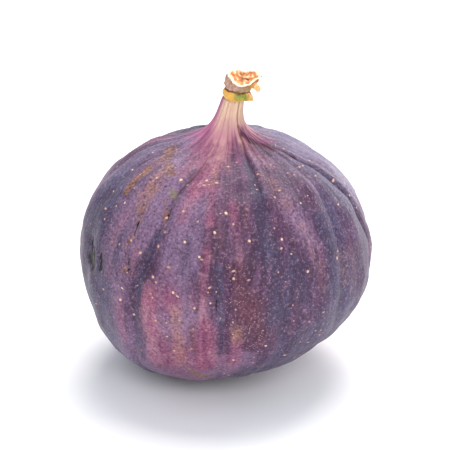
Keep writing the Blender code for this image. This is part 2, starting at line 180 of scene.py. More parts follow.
def ribs_at(along, latitude):
    """Bearing, relief, groove and painted crease shade of points given by ribs counted round and latitude.
    """
    away = (latitude[:, None] - GROOVE_LATITUDES) / GROOVE_REACH
    weights = np.exp(-away ** 2) + 1e-9
    weights /= weights.sum(axis=1, keepdims=True)
    bearings = weights @ GROOVE_BEARINGS.T
    depths = weights @ GROOVE_DEPTHS.T
    number = np.floor(along).astype(int) % RIB_COUNT
    following = (number + 1) % RIB_COUNT
    share = along - np.floor(along)
    row = np.arange(len(along))
    start = bearings[row, number]
    end = bearings[row, following] + np.where(following == 0, 360.0, 0.0)
    depth = depths[row, number] * (1.0 - share) + depths[row, following] * share
    power = GROOVE_CREASES[number] * (1.0 - share) + GROOVE_CREASES[following] * share
    dip = 1.0 - np.clip(np.sin(math.pi * share), 0.0, 1.0) ** power
    crease_shade = depth * dip ** 4
    return np.radians(start + (end - start) * share), -GROOVE_STRENGTH * depth * dip, dip * depth, crease_shade


# Broad lumps (waves round it, size, crest bearing, lean) and flats pressed into the body, with one
# swelling of negative depth (bearing, latitude, depth, reach)
BODY_LUMPS = ((2, 0.28, 95.0, 0.5), (3, 0.24, 60.0, 0.9), (5, 0.14, 70.0, -1.3))
BODY_FLATS = ((40.0, -58.0, 0.7, 24.0), (-58.0, -38.0, -1.25, 32.0), (-66.0, 6.0, 0.4, 12.0),
              (150.0, 20.0, 0.4, 24.0), (-130.0, -15.0, 0.4, 24.0))


def body_lumps(bearing, latitude):
    """The broad unevenness of the body, which dies out at the neck."""
    total = np.zeros_like(bearing)
    for waves, size, crest, lean in BODY_LUMPS:
        total += size * np.cos(waves * bearing - np.radians(crest + lean * latitude))
    total *= np.clip(np.cos(np.radians(latitude)), 0.0, 1.0)
    for centre, level, depth, reach in BODY_FLATS:
        turn = wrap_turn(bearing - math.radians(centre))
        round_it = np.degrees(turn) * math.cos(math.radians(level))
        total -= depth * np.exp(-(round_it ** 2 + (latitude - level) ** 2) / reach ** 2)
    return total


# Small unevenness that the soft flesh shows through its skin, and the fine folds where the skin
# gathers into the neck
RIPPLE_LENGTHS = (3.5, 12.0)
RIPPLE_STEEPNESS = 0.0062
RIPPLE_COUNT = 18
RIPPLE_SEED = 5
FOLD_DEPTH = 0.3
FOLD_SIZES = (0.2, 1.0)
FOLD_SHIFT = 0.48
FOLD_SEED = 3


def random_heading(draw):
    """A random direction of length one."""
    heading = np.array([draw.gauss(0.0, 1.0) for _ in range(3)])
    return heading / np.linalg.norm(heading)


def ripple(points):
    """A soft random unevenness: a sum of waves that run in all directions."""
    draw = random.Random(RIPPLE_SEED)
    total = np.zeros(len(points))
    for _ in range(RIPPLE_COUNT):
        heading = random_heading(draw)
        length = draw.uniform(*RIPPLE_LENGTHS)
        phase = draw.uniform(0.0, 2.0 * math.pi)
        total += RIPPLE_STEEPNESS * length * np.sin(points @ heading * 2.0 * math.pi / length + phase)
    return total


def fine_folds(along, latitude):
    """Fine folds round the crown that gather the skin into the neck, each of its own depth."""
    sizes = np.random.default_rng(FOLD_SEED).uniform(*FOLD_SIZES, RIB_COUNT + 1)
    sizes[-1] = sizes[0]
    size = np.interp(along % RIB_COUNT, np.arange(len(sizes)), sizes)
    reach = smooth_step(36.0, 66.0, latitude) * (1.0 - 0.8 * smooth_step(80.0, 96.0, latitude))
    return size * reach * (0.5 + 0.5 * np.cos(2.0 * math.pi * (along + FOLD_SHIFT))) ** 3


SLIT_DEPTH = 0.4


def skin_place(along, latitude):
    """The place of each point of the skin in millimetres."""
    bearing, relief = ribs_at(along, latitude)[:2]
    radius, height = outline(latitude)
    out, up = outline_normal(latitude)
    rough = np.stack((radius * np.sin(bearing), -radius * np.cos(bearing), height), axis=1)
    on_body = 1.0 - 0.8 * smooth_step(60.0, 84.0, latitude)
    relief = relief + body_lumps(bearing, latitude) - FOLD_DEPTH * fine_folds(along, latitude)
    slit = np.minimum(marked(bearing, latitude, SLIT_MARKS), 1.0)
    relief += ripple(rough) * on_body - SLIT_DEPTH * slit
    relief *= smooth_step(FOOT_LATITUDE, FOOT_LATITUDE + FOOT_BLEND, latitude)
    ring_radius = radius + out * relief
    ring_height = height + up * relief
    x = ring_radius * np.sin(bearing) + centre_line(ring_height)
    return np.stack((x, -ring_radius * np.cos(bearing), ring_height), axis=1)


RUN_LATITUDES = np.linspace(-90.0, NECK_LATITUDE, 801)
RUN_POINTS = np.stack(outline(RUN_LATITUDES), axis=1)
RUN_LENGTHS = np.concatenate(([0.0], np.cumsum(np.hypot(*np.diff(RUN_POINTS, axis=0).T))))


def run_length(latitude):
    """Millimetres along the skin from the eye up to a latitude."""
    return np.interp(latitude, RUN_LATITUDES, RUN_LENGTHS)


def marked(bearing, latitude, marks):
    """How much soft-edged marks cover each point. A mark is a stroke from one spot to another:
    bearing, latitude, bearing, latitude, half width in millimetres, strength."""
    run = run_length(latitude)
    radius = outline(latitude)[0]
    cover = np.zeros_like(bearing)
    for first, low, last, high, width, strength in marks:
        start, end = run_length(low), run_length(high)
        middle = 0.5 * (first + last)
        half = math.radians(last - first) * 0.25 * (outline(low)[0] + outline(high)[0])
        turn = (np.degrees(bearing) - middle + 180.0) % 360.0 - 180.0
        across, up = np.radians(turn) * radius + half, run - start
        share = (across * 2.0 * half + up * (end - start)) / (4.0 * half ** 2 + (end - start) ** 2)
        share = np.clip(share, 0.0, 1.0)
        gap = np.hypot(across - share * 2.0 * half, up - share * (end - start)) / width
        cover += strength * np.exp(-gap ** 2 * 0.9)
    return np.minimum(cover, 1.2)


# The marks of the skin, in the order of their layers: rose and slate streaks along the ribs, pale,
# rusty and tan drifts, patches of bloom, corky scars, dry slits, specks, neck streaks and bruises.
# The slate marks also hold painted shade down the left side and round the foot, the pale marks and
# one bloom patch hold painted bounce light from the table, and the fold marks are painted shade
ROSE_MARKS = [
    (-17, 86, -18, 56, 1.9, 1), (-20, 56, -22, 40, 2, 0.7), (-7, 40, -8, 22, 1, 0.5),
    (-8, 24, -9, -4, 1.2, 0.75), (-32, 4, -30, -32, 2.1, 1.15), (-21, 2, -20, -28, 2.6, 0.65),
    (-8, -8, -8, -32, 1.8, 0.95), (4, 46, 5, 22, 1.5, 0.6), (5, -15, 5, -28, 1.8, 0.65),
    (-54, 34, -53, 6, 1.8, 0.4), (34, 40, 34, 20, 2.3, 0.35), (53, 17, 55, 0, 1.8, 0.4),
    (66, 88, 96, 77, 1.8, 1.5), (-38, 78, -34, 62, 2, 0.65), (36, 78, 46, 64, 2, 0.4),
    (2, 80, 0, 66, 1.6, 0.5), (-18, 80, -18, 66, 2.2, 0.5), (30, 80, 36, 66, 2, 0.25),
    (-40, 22, -40, 12, 1, 0.5), (-46, -4, -46, -24, 1.7, 0.5), (20, -8, 22, -26, 2.6, 0.35),
    (-8, 56, -8, 40, 1.6, 0.6), (2, 54, 4, 42, 1.6, 0.25), (-23, 14, -22, 2, 2.2, 0.5),
    (-12, 14, -12, 2, 1.2, 0.4), (-66, 86, -60, 76, 2.4, 0.6), (-4, -28, 10, -44, 3.4, 0.5),
    (-24, -32, -20, -50, 4.5, 0.6),
]
# Slate streaks along the ribs, and painted shade: the broad marks down the left side and round the foot
# stand for shade
SLATE_AND_SHADE_MARKS = [
    (-74, 40, -72, 20, 5, 1.1), (-72, 20, -68, -28, 5, 1.2), (64, 40, 68, -20, 4.5, 0.45),
    (-50, 24, -50, 14, 2, 0.6), (-54, 0, -54, -18, 1.8, 0.65), (-45, 10, -44, 0, 1.2, 0.35),
    (-28, 66, -29, 30, 0.9, 0.55), (-32, 30, -37, 4, 1.2, 0.65), (-38, 4, -39, -32, 1.2, 0.65),
    (-3, 18, -2, -4, 1, 1), (-2, -6, -2, -24, 0.7, 0.6), (22, 72, 20, 52, 1, 1), (18, 50, 17, 26, 1.9, 0.8),
    (18, 22, 19, 0, 2.4, 0.7), (27, 20, 28, 4, 2, 0.55), (42, 58, 41, 40, 1, 0.6),
    (45, 34, 46, 2, 1.2, 0.85), (49, 0, 49, -30, 1.3, 0.85), (56, 40, 54, 22, 2.2, 0.45),
    (14, 66, 14, 56, 1.2, 0.5), (-16, 30, -17, 14, 1.2, 0.5), (-24, 26, -26, 12, 1.4, 0.35),
    (34, -22, 36, -44, 4.5, 0.7), (14, -48, 20, -54, 4, 0.5), (-4, 52, -5, 40, 1, 0.4),
    (-12, 16, -11, -8, 1, 0.6), (-58, 60, -56, 50, 1.4, 0.5), (74, 40, 78, -30, 3.4, 0.5),
    (58, -14, 60, -34, 3, 0.4), (8, 32, 8, 22, 1, 0.3), (21, -6, 25, -38, 4.2, 0.6),
    (34, 12, 38, -16, 4, 0.5), (51, 30, 52, -32, 2.6, 0.85), (50, 4, 48, -36, 3.4, 1.1),
    (-62, 4, -60, -26, 3.4, 1.2), (22, -42, 36, -46, 5, 1.2), (56, -20, 50, -40, 4, 0.8),
    (70, 60, 71, 34, 2.5, 0.6),
]
# Pale drifts, and painted light: the broad marks round the foot stand for light thrown up from the table
PALE_AND_TABLE_LIGHT_MARKS = [
    (-24, 46, -20, 22, 3, 0.8), (-48, 48, -52, 6, 5, 0.7), (34, 44, 36, 20, 3, 0.45),
    (-50, -8, -48, -30, 4, 0.6), (64, 44, 66, 8, 4, 0.3), (-42, 62, -38, 28, 3, 0.95),
    (36, 36, 38, 26, 2.2, 0.55), (-60, 36, -58, 16, 2, 0.6), (8, -26, 8, -44, 2.8, 1.1),
    (-20, 18, -19, -2, 3.2, 0.9), (-24, -36, -16, -50, 4, 0.8), (-4, -38, 4, -50, 4, 0.8),
    (-21, -6, -20, -40, 4.2, 0.95), (30, 70, 38, 52, 3, 0.25), (-12, 52, -14, 20, 2.5, 0.6),
    (-62, 78, -60, 56, 5, 0.6), (-44, -28, -34, -46, 4.5, 0.8), (-2, -34, 0, -48, 4, 0.8),
    (0, 40, 4, 24, 2, 0.4),
]
RUST_MARKS = [
    (5, 20, 6, -2, 2, 0.95), (12, 2, 13, -14, 2.6, 0.9), (-13, -8, -13, -22, 0.8, 1.1),
    (38, 12, 38, 0, 1.6, 0.65), (58, 16, 58, 2, 1.6, 0.7), (-8, 48, -3, 28, 1.2, 0.55),
    (30, 58, 32, 44, 2.2, 0.5), (-1, 44, -1, 30, 1, 0.5), (42, 56, 42, 42, 0.8, 0.6),
    (26, 4, 24, -12, 2.4, 0.5), (-44, 46, -44, 24, 3, 0.4), (10, 40, 9, 26, 1.4, 0.4),
]
TAN_MARKS = [
    (-20, -2, -18, -32, 1.6, 1), (4, -8, 4, -14, 1.4, 1.2), (-10, 70, -9, 58, 0.9, 0.9),
    (36, 32, 38, 16, 2, 0.6), (-52, 62, -45, 40, 2.6, 0.9), (30, 60, 34, 44, 2, 0.6),
    (52, 14, 54, 2, 1.8, 0.6), (-60, 30, -54, 20, 1.6, 0.5), (-4, 30, -6, 24, 0.6, 0.5),
    (10, 46, 9, 38, 0.7, 0.6),
]
# Patches of bloom; the one at the lower left is painted light thrown up from the table
WAX_AND_TABLE_LIGHT_MARKS = [
    (-92, 68, -80, 44, 5, 0.8), (-64, 78, -54, 66, 3, 0.5), (-64, 36, -60, 44, 2.6, 0.4),
    (100, 58, 104, 34, 8, 1), (62, 62, 70, 36, 4.5, 0.2), (80, -16, 86, -44, 5, 0.3),
    (96, 30, 96, -20, 5, 0.7), (50, 62, 56, 50, 3, 0.4), (-60, -34, -44, -50, 4.5, 0.9),
]
SCAR_MARKS = [
    (-77, 69, -62, 66, 1.9, 1), (-66, 62, -63, 56, 0.6, 0.6), (-63, 56, -61, 42, 1, 1.1),
    (-51, 63, -42, 60, 0.9, 0.7), (-49, 58, -47, 40, 1.9, 0.6), (-35, 48, -32, 38, 0.7, 0.65),
    (-31, 42, -30, 33, 0.45, 0.75), (-43, 36, -43, 26, 1.4, 0.65), (-45, 24, -44, 10, 0.5, 0.8),
    (-44, 10, -39, 10, 0.4, 0.8), (-14, -38, -6, -46, 1.1, 1.2), (-69, 12, -66, 2, 1.5, 0.6),
    (-60, 14, -59, 6, 0.5, 0.7), (4, -8, 4, -13, 0.8, 0.5), (-13, -10, -13, -18, 0.5, 0.4),
    (42, 12, 40, 4, 1.2, 0.45), (118, 20, 122, 6, 1.6, 0.8), (-150, 40, -146, 24, 1.4, 0.9),
    (165, -10, 168, -30, 2.4, 0.6),
]
SLIT_MARKS = [
    (-72, 6, -66, 3, 0.8, 1.1), (-71, 14, -69, 6, 0.8, 1.1), (-66, 12, -65, 5, 0.6, 1.1),
    (-60, 12, -59, 5, 0.5, 0.9), (-30, 44, -30, 38, 0.4, 0.7), (-44, 33, -44, 27, 0.4, 0.8),
    (-43, 16, -42, 11, 0.4, 0.8), (140, 12, 142, -4, 0.8, 1), (-4, 12, -4, 0, 0.4, 0.6),
]
FLECK_MARKS = [
    (6, 18, 12, -14, 5, 1), (40, 14, 42, 0, 4, 0.7), (-28, -20, -20, -40, 6, 0.4), (-44, 48, -46, 10, 5, 1),
    (34, 52, 40, 30, 4.5, 0.6), (-170, 0, -150, -20, 12, 0.8), (58, 16, 60, 0, 3.5, 0.6),
    (-4, 20, -2, 4, 2.5, 0.4),
]
VIOLET_MARKS = [
    (16, 88, 14, 72, 0.8, 0.6), (14, 72, 12, 60, 1, 0.4), (-28, 80, -28, 68, 0.6, 0.7),
    (-52, 90, -44, 74, 1, 0.6), (-66, 96, -58, 80, 0.4, 0.5), (24, 80, 24, 70, 0.5, 0.4),
    (58, 92, 72, 78, 1.4, 1), (2, 98, 2, 84, 0.25, 0.6), (-16, 102, -18, 84, 0.3, 0.5),
]
CREAM_MARKS = [
    (-7, 100, -8, 86, 0.8, 0.8), (-8, 86, -9, 74, 0.8, 0.5), (-9, 74, -11, 60, 0.8, 0.3),
    (29, 98, 29, 86, 0.5, 0.8), (29, 86, 28, 78, 0.5, 0.4), (-27, 100, -26, 86, 0.5, 0.6),
    (-26, 86, -24, 76, 0.5, 0.3), (8, 98, 7, 88, 0.35, 0.5), (60, 104, 60, 92, 0.5, 0.5),
    (-20, 80, -20, 70, 1, 0.4), (0, 80, 0, 70, 1, 0.4),
]
# Painted shade along the deep fold on the right shoulder; it feeds the crease mask
FOLD_SHADE_MARKS = [
    (38, 97, 45, 90, 0.25, 0.8), (45, 90, 54, 83, 0.6, 1.4), (54, 83, 66, 73, 0.75, 1.4),
    (67, 73, 73, 62, 0.3, 0.8),
]
LIME_MARKS = [
    (-34, 51, -31, 50, 0.9, 1.1), (-49, 60, -44, 58, 0.8, 0.5),
]
HIDDEN_MARK_SEED = 23
HIDDEN_BEARINGS = (108.0, 256.0)
HIDDEN_LATITUDES = (-55.0, 50.0)


def hidden_marks(count, widths, strengths, lengths, seed):
    """Marks of the same kind on the sides and the back, drawn at random."""
    draw = random.Random(seed)
    marks = []
    for _ in range(count):
        bearing = draw.uniform(*HIDDEN_BEARINGS)
        low = draw.uniform(*HIDDEN_LATITUDES)
        high = low + draw.uniform(*lengths)
        marks.append((bearing, low, bearing + draw.uniform(-4.0, 4.0), high,
                      draw.uniform(*widths), draw.uniform(*strengths)))
    return marks


HIDDEN_MARKS = (
    (ROSE_MARKS, 9, (1.5, 4.5), (0.5, 1.0), (15.0, 40.0)),
    (SLATE_AND_SHADE_MARKS, 14, (1.3, 5.5), (0.5, 0.95), (20.0, 55.0)),
    (WAX_AND_TABLE_LIGHT_MARKS, 6, (4.0, 9.0), (0.4, 0.9), (10.0, 25.0)),
    (PALE_AND_TABLE_LIGHT_MARKS, 7, (3.0, 7.0), (0.4, 0.9), (15.0, 40.0)),
    (RUST_MARKS, 7, (1.5, 4.0), (0.4, 0.9), (15.0, 40.0)),
    (TAN_MARKS, 6, (1.0, 3.0), (0.5, 0.9), (6.0, 22.0)),
)
for number, (marks, *kind) in enumerate(HIDDEN_MARKS):
    marks.extend(hidden_marks(*kind, HIDDEN_MARK_SEED + number))
SKIN_MARKS = {
    "rose": ROSE_MARKS, "slate_and_shade": SLATE_AND_SHADE_MARKS, "pale": PALE_AND_TABLE_LIGHT_MARKS, "rust": RUST_MARKS, "wax_and_table_light": WAX_AND_TABLE_LIGHT_MARKS,
    "scar": SCAR_MARKS, "slit": SLIT_MARKS, "fleck": FLECK_MARKS, "lime": LIME_MARKS,
    "tan": TAN_MARKS, "violet": VIOLET_MARKS, "cream": CREAM_MARKS,
}


def make_mesh(name, points, faces, masks=None):
    """A smooth-shaded mesh object from points in millimetres, with its named masks."""
    mesh = bpy.data.meshes.new(name)
    mesh.from_pydata((np.asarray(points) * MM).tolist(), [], faces)
    for mask, values in (masks or {}).items():
        values = np.asarray(values, dtype=np.float32)
        kind, field = ("FLOAT", "value") if values.ndim == 1 else ("FLOAT_VECTOR", "vector")
        layer = mesh.attributes.new(mask, kind, "POINT")
        layer.data.foreach_set(field, values.ravel())
    mesh.validate()
    mesh.shade_smooth()
    piece = bpy.data.objects.new(name, mesh)
    bpy.context.scene.collection.objects.link(piece)
    return piece


def ring_angles(count):
    """Even angles once round."""
    return np.arange(count) * 2.0 * math.pi / count


def ring_faces(rows, columns, close_start=True, close_end=True, wrap=False):
    """Faces of a body made of rings of points, closed at its ends by a point each."""
    faces = []
    for row in range(rows if wrap else rows - 1):
        low, high = row * columns, (row + 1) % rows * columns
        for here in range(columns):
            after = (here + 1) % columns
            faces.append((low + here, low + after, high + after, high + here))
    start_pole, end_pole = rows * columns, rows * columns + (1 if close_start else 0)
    top = (rows - 1) * columns
    for here in range(columns):
        after = (here + 1) % columns
        if close_start:
            faces.append((after, here, start_pole))
        if close_end:
            faces.append((top + here, top + after, end_pole))
    return faces


COLUMNS_PER_RIB = 18
BODY_ROWS = 150
NECK_ROWS = 60
COLUMNS = RIB_COUNT * COLUMNS_PER_RIB
GROWTH_PITCH = 0.0052
GROOVE_FULL = 0.6


def flat_ring(radius, height, middle, bearing):
    """A level ring of points at the given bearings."""
    return np.stack((radius * np.sin(bearing) + middle, -radius * np.cos(bearing),
                     np.full(len(bearing), height)), axis=1)


def make_skin():
    """The fig's skin as one closed mesh, with the masks that its colours follow."""
    body = np.linspace(FOOT_LATITUDE, CROWN_LATITUDE, BODY_ROWS, endpoint=False)
    neck = np.linspace(CROWN_LATITUDE, NECK_LATITUDE, NECK_ROWS)
    rows = np.concatenate((body, neck))
    latitude = np.repeat(rows, COLUMNS)
    along = np.tile(np.arange(COLUMNS) / COLUMNS_PER_RIB, len(rows))
    points = skin_place(along, latitude)
    bearing = ribs_at(along, latitude)[0]
    below = [flat_ring(radius, height, FOOT_SHIFT, bearing[:COLUMNS])
             for radius, height in reversed(EYE_RECESS)]
    above = [flat_ring(radius, height, NECK_LEAN, bearing[-COLUMNS:])
             for radius, height in NECK_SHOULDER]
    ends = np.array((below[0].mean(axis=0), above[-1].mean(axis=0)))
    points = np.concatenate(below + [points] + above + [ends])
    rows = np.concatenate(([rows[0]] * len(below), rows, [rows[-1]] * len(above)))
    latitude = np.concatenate((np.repeat(rows, COLUMNS), (rows[0], rows[-1])))
    along = np.concatenate((np.tile(np.arange(COLUMNS) / COLUMNS_PER_RIB, len(rows)), (0.0, 0.0)))
    bearing, _, groove, crease_shade = ribs_at(along, latitude)
    # The crease mask is painted shade: it darkens the crease bottoms, more so higher on the body, along the
    # fine folds and along the fold on the right shoulder
    crease_shade = crease_shade * (0.45 + 0.9 * smooth_step(30.0, 62.0, latitude))
    crease_shade += 0.55 * fine_folds(along, latitude) + marked(bearing, latitude, FOLD_SHADE_MARKS)
    turn = along * 2.0 * math.pi / RIB_COUNT
    run = run_length(latitude)
    growth = np.stack((np.cos(turn), np.sin(turn), run * GROWTH_PITCH), axis=1)
    masks = {
        "growth": growth,
        "groove": np.clip(groove / GROOVE_FULL, 0.0, 1.0),
        "crease_shade": np.clip(crease_shade, 0.0, 1.0),
        "neck": np.clip((latitude - CROWN_LATITUDE) / (NECK_LATITUDE - CROWN_LATITUDE), 0.0, 1.0),
        "side": 0.5 + 0.5 * np.sin(bearing),
    }
    masks.update((name, marked(bearing, latitude, marks)) for name, marks in SKIN_MARKS.items())
    return make_mesh("fig_skin", points, ring_faces(len(rows), COLUMNS), masks)


def tint(code):
    """A colour from its six-figure screen code, as the shader's light values."""
    parts = [int(code[at:at + 2], 16) / 255.0 for at in (0, 2, 4)]
    return tuple(p / 12.92 if p <= 0.04045 else ((p + 0.055) / 1.055) ** 2.4 for p in parts) + (1.0,)


def finish(name, roughness):
    """A new Principled finish: the material and its shader."""
    made = bpy.data.materials.new(name)
    made.use_nodes = True
    shader = made.node_tree.nodes["Principled BSDF"]
    shader.inputs["Roughness"].default_value = roughness
    return made, shader


def put(tree, socket, value):
    """Feed a socket from another node's output, or set it to a plain value."""
    if isinstance(value, bpy.types.NodeSocket):
        tree.links.new(value, socket)
    else:
        socket.default_value = value


def mask_of(tree, name, vector=False):
    """A mask stored on the mesh."""
    node = tree.nodes.new("ShaderNodeAttribute")
    node.attribute_name = name
    return node.outputs["Vector" if vector else "Fac"]


def place_on(tree):
    """The place on the object, in its own frame."""
    return tree.nodes.new("ShaderNodeTexCoord").outputs["Object"]


def noise(tree, where, scale, detail=2.0, rough=0.5, warp=0.0):
    """Soft random values from 0 to 1 over a place."""
    node = tree.nodes.new("ShaderNodeTexNoise")
    put(tree, node.inputs["Vector"], where)
    for key, value in (("Scale", scale), ("Detail", detail), ("Roughness", rough),
                       ("Distortion", warp)):
        node.inputs[key].default_value = value
    return node.outputs["Fac"]


def math_node(tree, action, first, second=0.0, third=None):
    """One step of arithmetic."""
    node = tree.nodes.new("ShaderNodeMath")
    node.operation = action
    put(tree, node.inputs[0], first)
    put(tree, node.inputs[1], second)
    if third is not None:
        put(tree, node.inputs[2], third)
    return node.outputs[0]


def ease(tree, value, low, high, to_low=0.0, to_high=1.0):
    """Bring a value from one range to another with soft ends."""
    node = tree.nodes.new("ShaderNodeMapRange")
    node.interpolation_type = "SMOOTHSTEP"
    put(tree, node.inputs["Value"], value)
    for key, number in (("From Min", low), ("From Max", high), ("To Min", to_low),
                        ("To Max", to_high)):
        node.inputs[key].default_value = number
    return node.outputs["Result"]


def jitter(tree, mask, *shakes):
    """A mask shaken by noises, each with its strength, so that its edge breaks up."""
    for value, strength in shakes:
        mask = math_node(tree, "MULTIPLY_ADD", math_node(tree, "SUBTRACT", value, 0.5), strength, mask)
    return mask


def blend(tree, amount, below, above, mode="MIX"):
    """One colour over another."""
    node = tree.nodes.new("ShaderNodeMix")
    node.data_type = "RGBA"
    node.blend_type = mode
    put(tree, node.inputs[0], amount)
    put(tree, node.inputs[6], below)
    put(tree, node.inputs[7], above)
    return node.outputs[2]


def coat(tree, below, above, mask, low, high, share=1.0):
    """A colour laid over another where a mask runs from its low to its high value."""
    return blend(tree, ease(tree, mask, low, high, 0.0, share), below, above)


def specks(tree, where, scale, size, share):
    """Small round dots, one in some of the cells of a random pattern."""
    node = tree.nodes.new("ShaderNodeTexVoronoi")
    put(tree, node.inputs["Vector"], where)
    node.inputs["Scale"].default_value = scale
    near = ease(tree, node.outputs["Distance"], size, size * 0.35)
    split = tree.nodes.new("ShaderNodeSeparateColor")
    tree.links.new(node.outputs["Color"], split.inputs[0])
    chosen = math_node(tree, "LESS_THAN", split.outputs[0], share)
    return math_node(tree, "MULTIPLY", near, chosen)


def bump(tree, shader, heights):
    """Fine relief from several values, each with its depth in millimetres."""
    normal = None
    for value, depth in heights:
        node = tree.nodes.new("ShaderNodeBump")
        node.inputs["Distance"].default_value = depth * MM
        node.inputs["Strength"].default_value = 1.0
        put(tree, node.inputs["Height"], value)
        if normal is not None:
            tree.links.new(normal, node.inputs["Normal"])
        normal = node.outputs["Normal"]
    tree.links.new(normal, shader.inputs["Normal"])


PLUM_DARK, PLUM, PLUM_PALE = tint("3e2540"), tint("624060"), tint("7e6482")
ROSE, MAGENTA, ROSE_PALE = tint("94536d"), tint("773a5c"), tint("b08292")
SLATE, SLATE_BLUE = tint("372e4a"), tint("4c4865")
# CREASE_SHADE is the colour of the painted shade in the creases
CREASE_SHADE, RUST, WAX_AND_TABLE_LIGHT = tint("480c2c"), tint("5e3440"), tint("86809c")
CORK, CORK_DARK, CORK_PALE, LIME = tint("8c5e44"), tint("553426"), tint("b39078"), tint("7d7a48")
SLIT, SPECK, PIT = tint("180a10"), tint("b48c9a"), tint("45202c")
TAN = tint("a07464")
NECK_ROSE, NECK_PINK, NECK_CREAM = tint("94526c"), tint("c68696"), tint("ecc8ae")
# NECK_OLIVE_SHADE is olive-dark painted shade for the grooves on the neck's right side
NECK_MAGENTA, NECK_OLIVE_SHADE = tint("b4608c"), tint("8a7a50")
NECK_VIOLET, NECK_STREAK = tint("7c3c66"), tint("dca8a4")


def skin_finish():
    """Purple skin: plum streaked with rose and slate along the ribs, with bloom, flecks, a few
    corky scars and slits, and a neck that pales through pink to cream. Painted shade darkens the
    creases, the grooves, the left side and the foot; painted bounce light from the table brightens
    the lower body."""
    made, shader = finish("fig_skin", 0.5)
    tree = made.node_tree
    place = place_on(tree)
    growth = mask_of(tree, "growth", vector=True)
    grain = noise(tree, place, 2000.0, 3.0, 0.7)
    mottle = noise(tree, place, 620.0, 4.0, 0.65)
    cloud = noise(tree, place, 150.0, 3.0, 0.55)
    streak = noise(tree, growth, 5.0, 4.0, 0.6, 0.4)
    band = noise(tree, growth, 12.0, 3.0, 0.6, 0.2)
    thread = noise(tree, growth, 34.0, 4.0, 0.65)
    groove = mask_of(tree, "groove")

    # The plum ground, with paler and rustier drifts; the pale drifts round the foot are painted bounce
    # light from the table
    level = jitter(tree, band, (thread, 0.5), (mottle, 0.5), (streak, 0.5))
    colour = coat(tree, PLUM_DARK, PLUM, level, 0.22, 0.78)
    pale = jitter(tree, mask_of(tree, "pale"), (cloud, 0.9), (mottle, 0.45), (band, 0.9))
    colour = coat(tree, colour, PLUM_PALE, pale, 0.05, 1.0, 0.85)
    rust = jitter(tree, mask_of(tree, "rust"), (band, 0.9), (thread, 0.6), (grain, 1.4), (mottle, 1.0))
    colour = coat(tree, colour, RUST, rust, 0.15, 1.3, 0.75)

    # Rose and slate streaks run along the ribs; the slate layer also carries painted shade in the grooves,
    # down the left side and round the foot
    red = coat(tree, MAGENTA, ROSE, jitter(tree, band, (mottle, 0.4)), 0.3, 0.7)
    red = coat(tree, red, ROSE_PALE, jitter(tree, cloud, (mottle, 0.35)), 0.4, 0.75, 0.7)
    rosy = jitter(tree, mask_of(tree, "rose"), (streak, 0.8), (band, 0.35), (thread, 0.15), (mottle, 0.2))
    colour = coat(tree, colour, red, rosy, 0.12, 1.1, 0.88)
    blue = coat(tree, SLATE, SLATE_BLUE, jitter(tree, streak, (mottle, 0.7)), 0.35, 0.7)
    slate_and_shade_amount = jitter(tree, mask_of(tree, "slate_and_shade"), (streak, -0.8), (band, -0.5), (thread, 0.3), (mottle, 0.5))
    # The grooves add painted shade to the slate layer
    slate_and_shade_amount = math_node(tree, "MULTIPLY_ADD", groove, 0.2, slate_and_shade_amount)
    colour = coat(tree, colour, blue, slate_and_shade_amount, 0.12, 1.05, 0.85)

    # Tan drifts where the skin has dried a little
    tanned = jitter(tree, mask_of(tree, "tan"), (band, 0.8), (thread, 0.8), (mottle, 1.6), (grain, 1.2))
    colour = coat(tree, colour, TAN, tanned, 0.2, 1.5, 0.6)

    # The dusty bloom, painted bounce light from the table at the lower left, then the fine grain of pale
    # and dark points
    wax_and_table_light_amount = jitter(tree, mask_of(tree, "wax_and_table_light"), (mottle, 0.8), (streak, 0.8), (cloud, 0.8), (band, 0.5))
    colour = coat(tree, colour, WAX_AND_TABLE_LIGHT, wax_and_table_light_amount, 0.1, 1.3, 0.5)
    colour = coat(tree, colour, PIT, grain, 0.5, 0.3, 0.55)
    colour = coat(tree, colour, SPECK, grain, 0.52, 0.8, 0.5)

    # The grain once more as contrast, then scattered light dots and dark pits
    colour = blend(tree, 0.3, colour, ease(tree, grain, 0.3, 0.7, 0.12, 0.88), "OVERLAY")
    fleck = mask_of(tree, "fleck")
    dots = specks(tree, place, 1150.0, 0.3, 0.3)
    dots = math_node(tree, "MULTIPLY", dots, math_node(tree, "MULTIPLY_ADD", fleck, 0.34, 0.03))
    colour = blend(tree, dots, colour, SPECK)
    pits = specks(tree, place, 950.0, 0.34, 0.35)
    pits = math_node(tree, "MULTIPLY", pits, math_node(tree, "MULTIPLY_ADD", fleck, 0.8, 0.15))
    colour = blend(tree, pits, colour, PIT)

    # Corky scars, a green bruise and dry slits
    scar = jitter(tree, mask_of(tree, "scar"), (band, 0.9), (thread, 0.7), (mottle, 0.9), (grain, 0.4))
    cork = coat(tree, CORK_DARK, CORK, jitter(tree, grain, (mottle, 0.6)), 0.35, 0.6)
    cork = coat(tree, cork, CORK_PALE, grain, 0.56, 0.66, 0.8)
    colour = coat(tree, colour, cork, scar, 0.25, 1.2, 0.8)
    colour = coat(tree, colour, LIME, jitter(tree, mask_of(tree, "lime"), (mottle, 0.8)), 0.3, 1.0, 0.5)
    slit = jitter(tree, mask_of(tree, "slit"), (noise(tree, growth, 60.0, 2.0), 2.2), (mottle, 0.8))
    slit = ease(tree, slit, 0.5, 0.85)
    colour = blend(tree, slit, colour, SLIT)

    # The neck pales through pink to cream, redder on one side, with olive-dark painted shade in its grooves
    # on the other side and rose painted shade in its creases
    neck = mask_of(tree, "neck")
    side = mask_of(tree, "side")
    level = jitter(tree, neck, (thread, 0.4), (band, 0.5))
    paler = coat(tree, NECK_ROSE, NECK_PINK, level, 0.12, 0.5)
    paler = coat(tree, paler, NECK_CREAM, level, 0.48, 0.95)
    left = ease(tree, jitter(tree, side, (thread, 0.1)), 0.13, 0.04)
    paler = blend(tree, math_node(tree, "MULTIPLY", left, 0.85), paler, NECK_MAGENTA)
